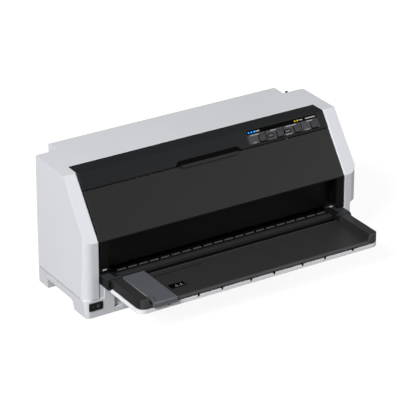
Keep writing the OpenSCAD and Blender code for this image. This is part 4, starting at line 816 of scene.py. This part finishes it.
# Outer faces of the side frames, the shafts in them, and the carriage drive above them.
FRAME_OUT = 206.0
SHAFT_Z, PINCH_Z = 57.0, 70.4
FRONT_Y, MIDDLE_Y, REAR_Y = 34.0, 70.0, 106.0
PULLEY_Y, DRIVE_X, IDLER_X = 124.0, 187.0, -193.0
PLATE_Z, MOTOR_TOP = 98.0, 131.5
# The main board's left and front edges, its width and its upper face.
BOARD_LEFT, BOARD_FRONT, BOARD_W, BOARD_TOP = -150.0, 50.0, 195.0, 16.6


def frame_screws(mesh):
    """Screws of the side frames, the beams, the motors, the boards and the power supply."""
    for side in (-1, 1):
        for y in (54.0, 116.0):
            screw(mesh, top_of(side * 198.5, y, 21.3), 3.0)
        for y, z in ((31.0, 38.0), (134.0, 104.0), (134.0, 88.0)):
            screw(mesh, beside(side * FRAME_OUT, y, z, side), 2.6)
    for x in (DRIVE_X - 10.4, DRIVE_X + 10.4):
        for y in (PULLEY_Y - 10.4, PULLEY_Y + 10.4):
            screw(mesh, top_of(x, y, MOTOR_TOP), 1.9, 1.2)
    for y in (117.0, 132.0):
        screw(mesh, top_of(-184.0, y, PLATE_Z + 1.5), 2.2)
    for x in (-142.0, 37.0):
        for y in (58.0, 126.0):
            screw(mesh, top_of(x, y, BOARD_TOP), 2.7)
    for x in (70.0, 184.0):
        screw(mesh, front_of(x, 50.0, 40.0), 2.4)


def case_screws(mesh):
    """Screws of the rear wall, and deeper ones under the base."""
    for x in (-216.0, 216.0):
        for z in (42.0, 150.0):
            screw(mesh, rear_of(x, 148.0, z), 3.2)
    for x in (-150.0, 0.0, 150.0):
        for y in (30.0, 128.0):
            screw(mesh, below(x, y, 10.2), 3.4, 2.2)


def bush_rims(mesh):
    """Raised rims that lock the bushes in the frames."""
    for side in (-1, 1):
        for y in (FRONT_Y, REAR_Y):
            washer(mesh, beside(side * 202.4, y, SHAFT_Z, -side), 8.6, 6.2, 0.5)


def shaft_clips(mesh, y, ends):
    """Spring clips in the grooves at a shaft's ends: 1 is the right end and -1 the left."""
    for side in ends:
        washer(mesh, beside(side * 201.0, y, SHAFT_Z, -side), 6.4, 4.02, 0.7)


def stud_clip(mesh):
    """Clip that holds the gear between the two shafts on its stud."""
    washer(mesh, beside(-213.0, MIDDLE_Y, SHAFT_Z, -1), 5.2, 3.02, 0.6)


def press_springs(mesh):
    """Bent strips of spring steel over the pinch shafts' ends, with their shelves and screws."""
    line = [(-3.0, 2.15), (0.0, 2.05), (3.0, 2.6), (12.0, 6.2), (17.0, 6.2)]
    thick, shelf_back = 0.5, 14.5
    for side in (-1, 1):
        face = facing((side * 199.0, 0.0, 0.0), (0, 1, 0), UP)
        for y in (FRONT_Y, REAR_Y):
            upper = [(y + a, PINCH_Z + b + thick) for a, b in line]
            lower = [(y + a, PINCH_Z + b) for a, b in reversed(line)]
            prism(mesh, upper + lower, -2.8, 2.8, face)
        for y in (FRONT_Y + shelf_back, REAR_Y + shelf_back):
            shelf = (PINCH_Z + 6.7, PINCH_Z + 7.7)
            block(mesh, span(side * 200.4, 4.2), span(y, 2.6), shelf)
            screw(mesh, top_of(side * 200.0, y, PINCH_Z + 7.6), 1.9, 1.2)


drawn("frame_screws", "chassis", "steel", frame_screws)
drawn("case_screws", "chassis", "steel", case_screws)
drawn("bush_rims", "chassis", "nylon", bush_rims)
drawn("front_shaft_clip", "front_feed", "steel", lambda mesh: shaft_clips(mesh, FRONT_Y, (1,)))
drawn("rear_shaft_clips", "rear_feed", "steel", lambda mesh: shaft_clips(mesh, REAR_Y, (1, -1)))
drawn("stud_clip", "chassis", "steel", stud_clip)
drawn("press_springs", "chassis", "steel", press_springs)


# ---- drive and electronics ---------------------------------------------------------------

# The belt's middle height, its tooth pitch and how far its inner face runs from the pulleys' axes.
BELT_Z, BELT_PITCH, BELT_INNER = 90.0, 2.54, 9.3
PULLEY_TEETH = 22
PIN_PITCH = 2.54

# Chips: middle, width, depth and height.
CHIPS = (
    (-110.0, 80.0, 24.0, 24.0, 3.0),
    (-66.0, 76.0, 18.0, 28.0, 2.4),
    (-19.9, 72.0, 14.0, 20.0, 2.4),
)
# Resistors and diodes near the board's front edge, in three staggered rows.
SMALL_PARTS = [
    (BOARD_LEFT + 22.0 + i * 12.0, BOARD_FRONT + 6.0 + (i % 3) * 2.4) for i in range(14)
]
# Headers: middle, width, depth, and the height of the block that they stand on.
HEADERS = (
    (-112.0, 118.0, 11.0, 30.0, 9.0),
    (4.0, 96.0, 5.0, 16.0, 0.0),
    (24.0, 96.0, 5.0, 16.0, 0.0),
    (-88.0, 56.0, 22.0, 5.0, 0.0),
)


def belt_teeth(mesh):
    """Teeth along both inner runs of the timing belt."""
    count = int((DRIVE_X - IDLER_X) / BELT_PITCH)
    for run in (-1, 1):
        y = PULLEY_Y + run * BELT_INNER
        for i in range(count + 1):
            x = IDLER_X + (i + 0.5) * BELT_PITCH
            block(mesh, span(x, 0.6), span(y - run * 0.25, 0.3), span(BELT_Z, 2.9))


def pulley_teeth(mesh, x):
    """Teeth round a pulley, that mesh with the belt's."""
    for i in range(PULLEY_TEETH):
        turn = Matrix.Rotation(math.radians(i * 360 / PULLEY_TEETH), 4, "Z")
        stand = Matrix.Translation((x, PULLEY_Y, BELT_Z)) @ turn
        block(mesh, (8.6, 9.12), span(0, 0.55), span(0, 3.7), stand)


def chip_bodies(mesh):
    """Skins of the chips, and the small parts."""
    for x, y, width, depth, height in CHIPS:
        tall = (BOARD_TOP + 0.4, BOARD_TOP + height + 0.1)
        block(mesh, span(x, width / 2 + 0.1), span(y, depth / 2 + 0.1), tall, ease=0.25)
    for x, y in SMALL_PARTS:
        block(mesh, span(x, 1.6), span(y, 0.8), (BOARD_TOP, BOARD_TOP + 1.0), ease=0.15)


def chip_legs(mesh):
    """Gull legs on the two long sides of each chip, and ends of the small parts."""
    for x, y, width, depth, _ in CHIPS:
        count = int(depth / 1.6)
        for i in range(count):
            row = y - depth / 2 + (i + 0.5) * depth / count
            for side in (-1, 1):
                leg = x + side * (width / 2 + 0.85)
                block(mesh, span(leg, 0.75), span(row, 0.3), (BOARD_TOP + 0.05, BOARD_TOP + 0.35))
    for x, y in SMALL_PARTS:
        for side in (-1, 1):
            block(mesh, span(x + side * 1.8, 0.4), span(y, 0.8), (BOARD_TOP, BOARD_TOP + 0.5))


def capacitor_cans(mesh):
    """Cans over the capacitors, with a rolled groove near the foot."""
    for i in range(5):
        x, y = BOARD_LEFT + (0.31 + i * 0.07) * BOARD_W, BOARD_FRONT + 54.0
        for foot, length, radius in ((0.0, 0.9, 4.15), (1.4, 0.9, 3.95), (2.2, 8.0, 4.15)):
            rod(mesh, (x, y, BOARD_TOP + foot), length, radius)


def headers(mesh):
    """Open-topped headers for leads, with their walls."""
    wall = 0.9
    for x, y, width, depth, lift in HEADERS:
        tall = (BOARD_TOP + lift, BOARD_TOP + lift + 6.0)
        for side in (-1, 1):
            beside_x = span(x + side * (width - wall) / 2, wall / 2)
            beside_y = span(y + side * (depth - wall) / 2, wall / 2)
            block(mesh, beside_x, span(y, depth / 2), tall)
            block(mesh, span(x, width / 2), beside_y, tall)


def header_pins(mesh):
    """Square pins in the headers, in one row along the longer side."""
    for x, y, width, depth, lift in HEADERS:
        count = int((max(width, depth) - 3.0) / PIN_PITCH)
        for i in range(count + 1):
            step = (i - count / 2) * PIN_PITCH
            px, py = (x, y + step) if depth > width else (x + step, y)
            tall = (BOARD_TOP + lift, BOARD_TOP + lift + 4.6)
            block(mesh, span(px, 0.32), span(py, 0.32), tall)


def socket_contacts(mesh):
    """Contact rows on the tongues of the parallel and the serial socket."""
    tongue_z, thick = 22.4, 0.14
    columns = [-40.0 + (i - 8.5) * 2.5 for i in range(18)] + [18.4, 21.6]
    for x in columns:
        for level in (tongue_z - 1.32, tongue_z + 1.18):
            block(mesh, span(x, 0.5), (140.5, 147.2), (level, level + thick))


drawn("belt_teeth", "chassis", "rubber", belt_teeth)
drawn("drive_teeth", "drive_pulley", "brass", lambda mesh: pulley_teeth(mesh, DRIVE_X))
drawn("idler_teeth", "idler_pulley", "nylon", lambda mesh: pulley_teeth(mesh, IDLER_X))
drawn("chip_bodies", "chassis", "board_green", chip_bodies, epoxy)
drawn("chip_legs", "chassis", "board_green", chip_legs, tin)
drawn("capacitor_cans", "chassis", "board_green", capacitor_cans, can_alloy)
drawn("headers", "chassis", "board_green", headers, header_nylon)
drawn("header_pins", "chassis", "board_green", header_pins, tin)
drawn("socket_contacts", "chassis", "socket_grey", socket_contacts, FINISHES["brass"])


# ---- head and cartridge --------------------------------------------------------------------

# Height of the cartridge's lid.
LID_Z = 117.1


def head_wires(mesh):
    """Two rows of print wires that end at the nose."""
    for row in (-1, 1):
        for i in range(12):
            rod(mesh, (row * 0.9, MIDDLE_Y - 3.3 + i * 0.6, 66.75), 0.4, 0.14, around=8)


def head_contacts(mesh):
    """Contacts for the head's cable, on top of it."""
    for i in range(9):
        across = span((i - 4) * 1.8, 0.35)
        block(mesh, across, (MIDDLE_Y + 5.2, MIDDLE_Y + 10.8), (114.9, 115.15))


def head_screws(mesh):
    """Screws that hold the head on the carriage."""
    for x in (-19.0, 19.0):
        screw(mesh, top_of(x, MIDDLE_Y - 9.5, 90.0), 2.2, 1.4)


def cartridge_lines(mesh):
    """Grip ribs at the end of the lid and an arrow for the way the knob turns."""
    for i in range(5):
        block(mesh, span(24.0 + i * 2.6, 0.5), (30.0, 47.0), (LID_Z, LID_Z + 0.7), ease=0.2)
    tail, tip, back = 0.0, 14.0, 10.0
    arrow = [
        (tail, 36.0), (back, 36.0), (back, 34.0), (tip, 38.0), (back, 42.0), (back, 40.0),
        (tail, 40.0),
    ]
    prism(mesh, arrow, LID_Z, LID_Z + 0.5)


drawn("head_wires", "carriage", "head_alloy", head_wires, FINISHES["bright_shaft"])
drawn("head_contacts", "carriage", "head_alloy", head_contacts, FINISHES["brass"])
drawn("head_screws", "carriage", "steel", head_screws)
drawn("cartridge_lines", "carriage", "black_plastic", cartridge_lines)


# ---- studio ----------------------------------------------------------------------------------

# The camera stands where the photograph was taken: turned left of the front and looking down.
CAMERA_TURN = -32.048
CAMERA_RISE = 25.837
CAMERA_AWAY = 3583.06 * MM
CAMERA_AIM = Vector((0.834, 16.0, 99.874)) * MM
FOCAL_PIXELS = 2392.8
PHOTO_PIXELS = 416
SENSOR = 36.0
# What the lamps aim at: the middle of the printer.
LAMP_AIM = (0.0, 0.0, 0.1)


def photograph_camera():
    """The camera that the photograph was fitted to."""
    turn, rise = math.radians(CAMERA_TURN), math.radians(CAMERA_RISE)
    level = math.cos(rise)
    back = Vector((math.sin(turn) * level, -math.cos(turn) * level, math.sin(rise)))
    eye = bpy.data.objects.new("camera", bpy.data.cameras.new("camera"))
    eye.data.sensor_width = SENSOR
    eye.data.lens = FOCAL_PIXELS / PHOTO_PIXELS * SENSOR
    eye.data.clip_start = 0.05
    eye.data.clip_end = 50
    eye.location = CAMERA_AIM + back * CAMERA_AWAY
    eye.rotation_mode = "QUATERNION"
    eye.rotation_quaternion = (-back).to_track_quat("-Z", "Y")
    bpy.context.scene.collection.objects.link(eye)
    bpy.context.scene.camera = eye


def looked_at(tree, path):
    """1 where the camera looks straight at the backdrop or through glass, else 0."""
    straight, through = path.outputs["Is Camera Ray"], path.outputs["Is Transmission Ray"]
    return add(tree, "ShaderNodeMath", {0: straight, 1: through}, operation="MAXIMUM").outputs[0]


def studio_world(strength, behind_it, before_it):
    """Soft light from all round, where a mirror sees the room darker behind it than before it."""
    world = bpy.data.worlds.new("studio")
    bpy.context.scene.world = world
    world.use_nodes = True
    tree = world.node_tree
    tree.nodes.clear()
    path = add(tree, "ShaderNodeLightPath")
    way = add(tree, "ShaderNodeTexCoord").outputs["Generated"]
    forward = add(tree, "ShaderNodeVectorMath", {0: way, 1: FORWARD}, operation="DOT_PRODUCT")
    room = add(
        tree,
        "ShaderNodeMapRange",
        {
            "Value": forward.outputs["Value"],
            "From Min": -0.7,
            "From Max": 0.5,
            "To Min": behind_it,
            "To Max": before_it,
        },
    ).outputs["Result"]
    glossy = add(
        tree,
        "ShaderNodeMapRange",
        {"Value": path.outputs["Is Glossy Ray"], "To Min": strength, "To Max": room},
    ).outputs["Result"]
    seen = looked_at(tree, path)
    level = add(tree, "ShaderNodeMath", {0: glossy, 1: seen}, operation="MAXIMUM").outputs[0]
    light = add(tree, "ShaderNodeBackground", {"Color": WHITE, "Strength": level})
    out = add(tree, "ShaderNodeOutputWorld")
    tree.links.new(light.outputs[0], out.inputs["Surface"])


def softbox(name, place, size, power):
    """A square lamp that gives soft light."""
    lamp = bpy.data.lights.new(name, "AREA")
    lamp.energy = power
    lamp.size = size
    held = bpy.data.objects.new(name, lamp)
    held.location = place
    held.rotation_mode = "QUATERNION"
    held.rotation_quaternion = (Vector(LAMP_AIM) - Vector(place)).to_track_quat("-Z", "Y")
    bpy.context.scene.collection.objects.link(held)


def studio_floor(tone, lift, near, far):
    """Table that keeps the printer's shadow near it and melts into the white backdrop."""
    mesh = bmesh.new()
    bmesh.ops.create_grid(mesh, x_segments=1, y_segments=1, size=6.0)
    data = bpy.data.meshes.new("floor")
    mesh.to_mesh(data)
    mesh.free()
    ground = bpy.data.objects.new("floor", data)
    bpy.context.scene.collection.objects.link(ground)
    made = bpy.data.materials.new("floor_white")
    made.use_nodes = True
    tree = made.node_tree
    body = tree.nodes["Principled BSDF"]
    body.inputs["Base Color"].default_value = (tone, tone, tone, 1.0)
    body.inputs["Roughness"].default_value = 1.0
    body.inputs["Specular IOR Level"].default_value = 0.0
    place = add(tree, "ShaderNodeTexCoord").outputs["Object"]
    away = add(tree, "ShaderNodeVectorMath", {0: place}, operation="LENGTH").outputs["Value"]
    level = add(
        tree,
        "ShaderNodeMapRange",
        {"Value": away, "From Min": near, "From Max": far, "To Min": lift, "To Max": 1.0},
    ).outputs["Result"]
    glow = add(tree, "ShaderNodeEmission", {"Color": WHITE, "Strength": level})
    both = add(tree, "ShaderNodeAddShader", {0: body.outputs[0], 1: glow.outputs[0]})
    seen = looked_at(tree, add(tree, "ShaderNodeLightPath"))
    mix = add(tree, "ShaderNodeMixShader", {0: seen, 1: body.outputs[0], 2: both.outputs[0]})
    tree.links.new(mix.outputs[0], tree.nodes["Material Output"].inputs["Surface"])
    data.materials.append(made)


photograph_camera()
studio_world(strength=0.09, behind_it=0.15, before_it=0.6)
studio_floor(tone=0.2, lift=0.91, near=0.4, far=0.9)
# The key stands left of the camera, so the left side and the slope are the brightest faces.
softbox("key", (-3.4, -1.65, 3.1), size=1.8, power=270)
softbox("fill", (1.9, -1.9, 1.0), size=1.4, power=8)
softbox("rim", (3.0, -0.6, 0.9), size=1.4, power=26)
bpy.context.scene.view_settings.view_transform = "Standard"
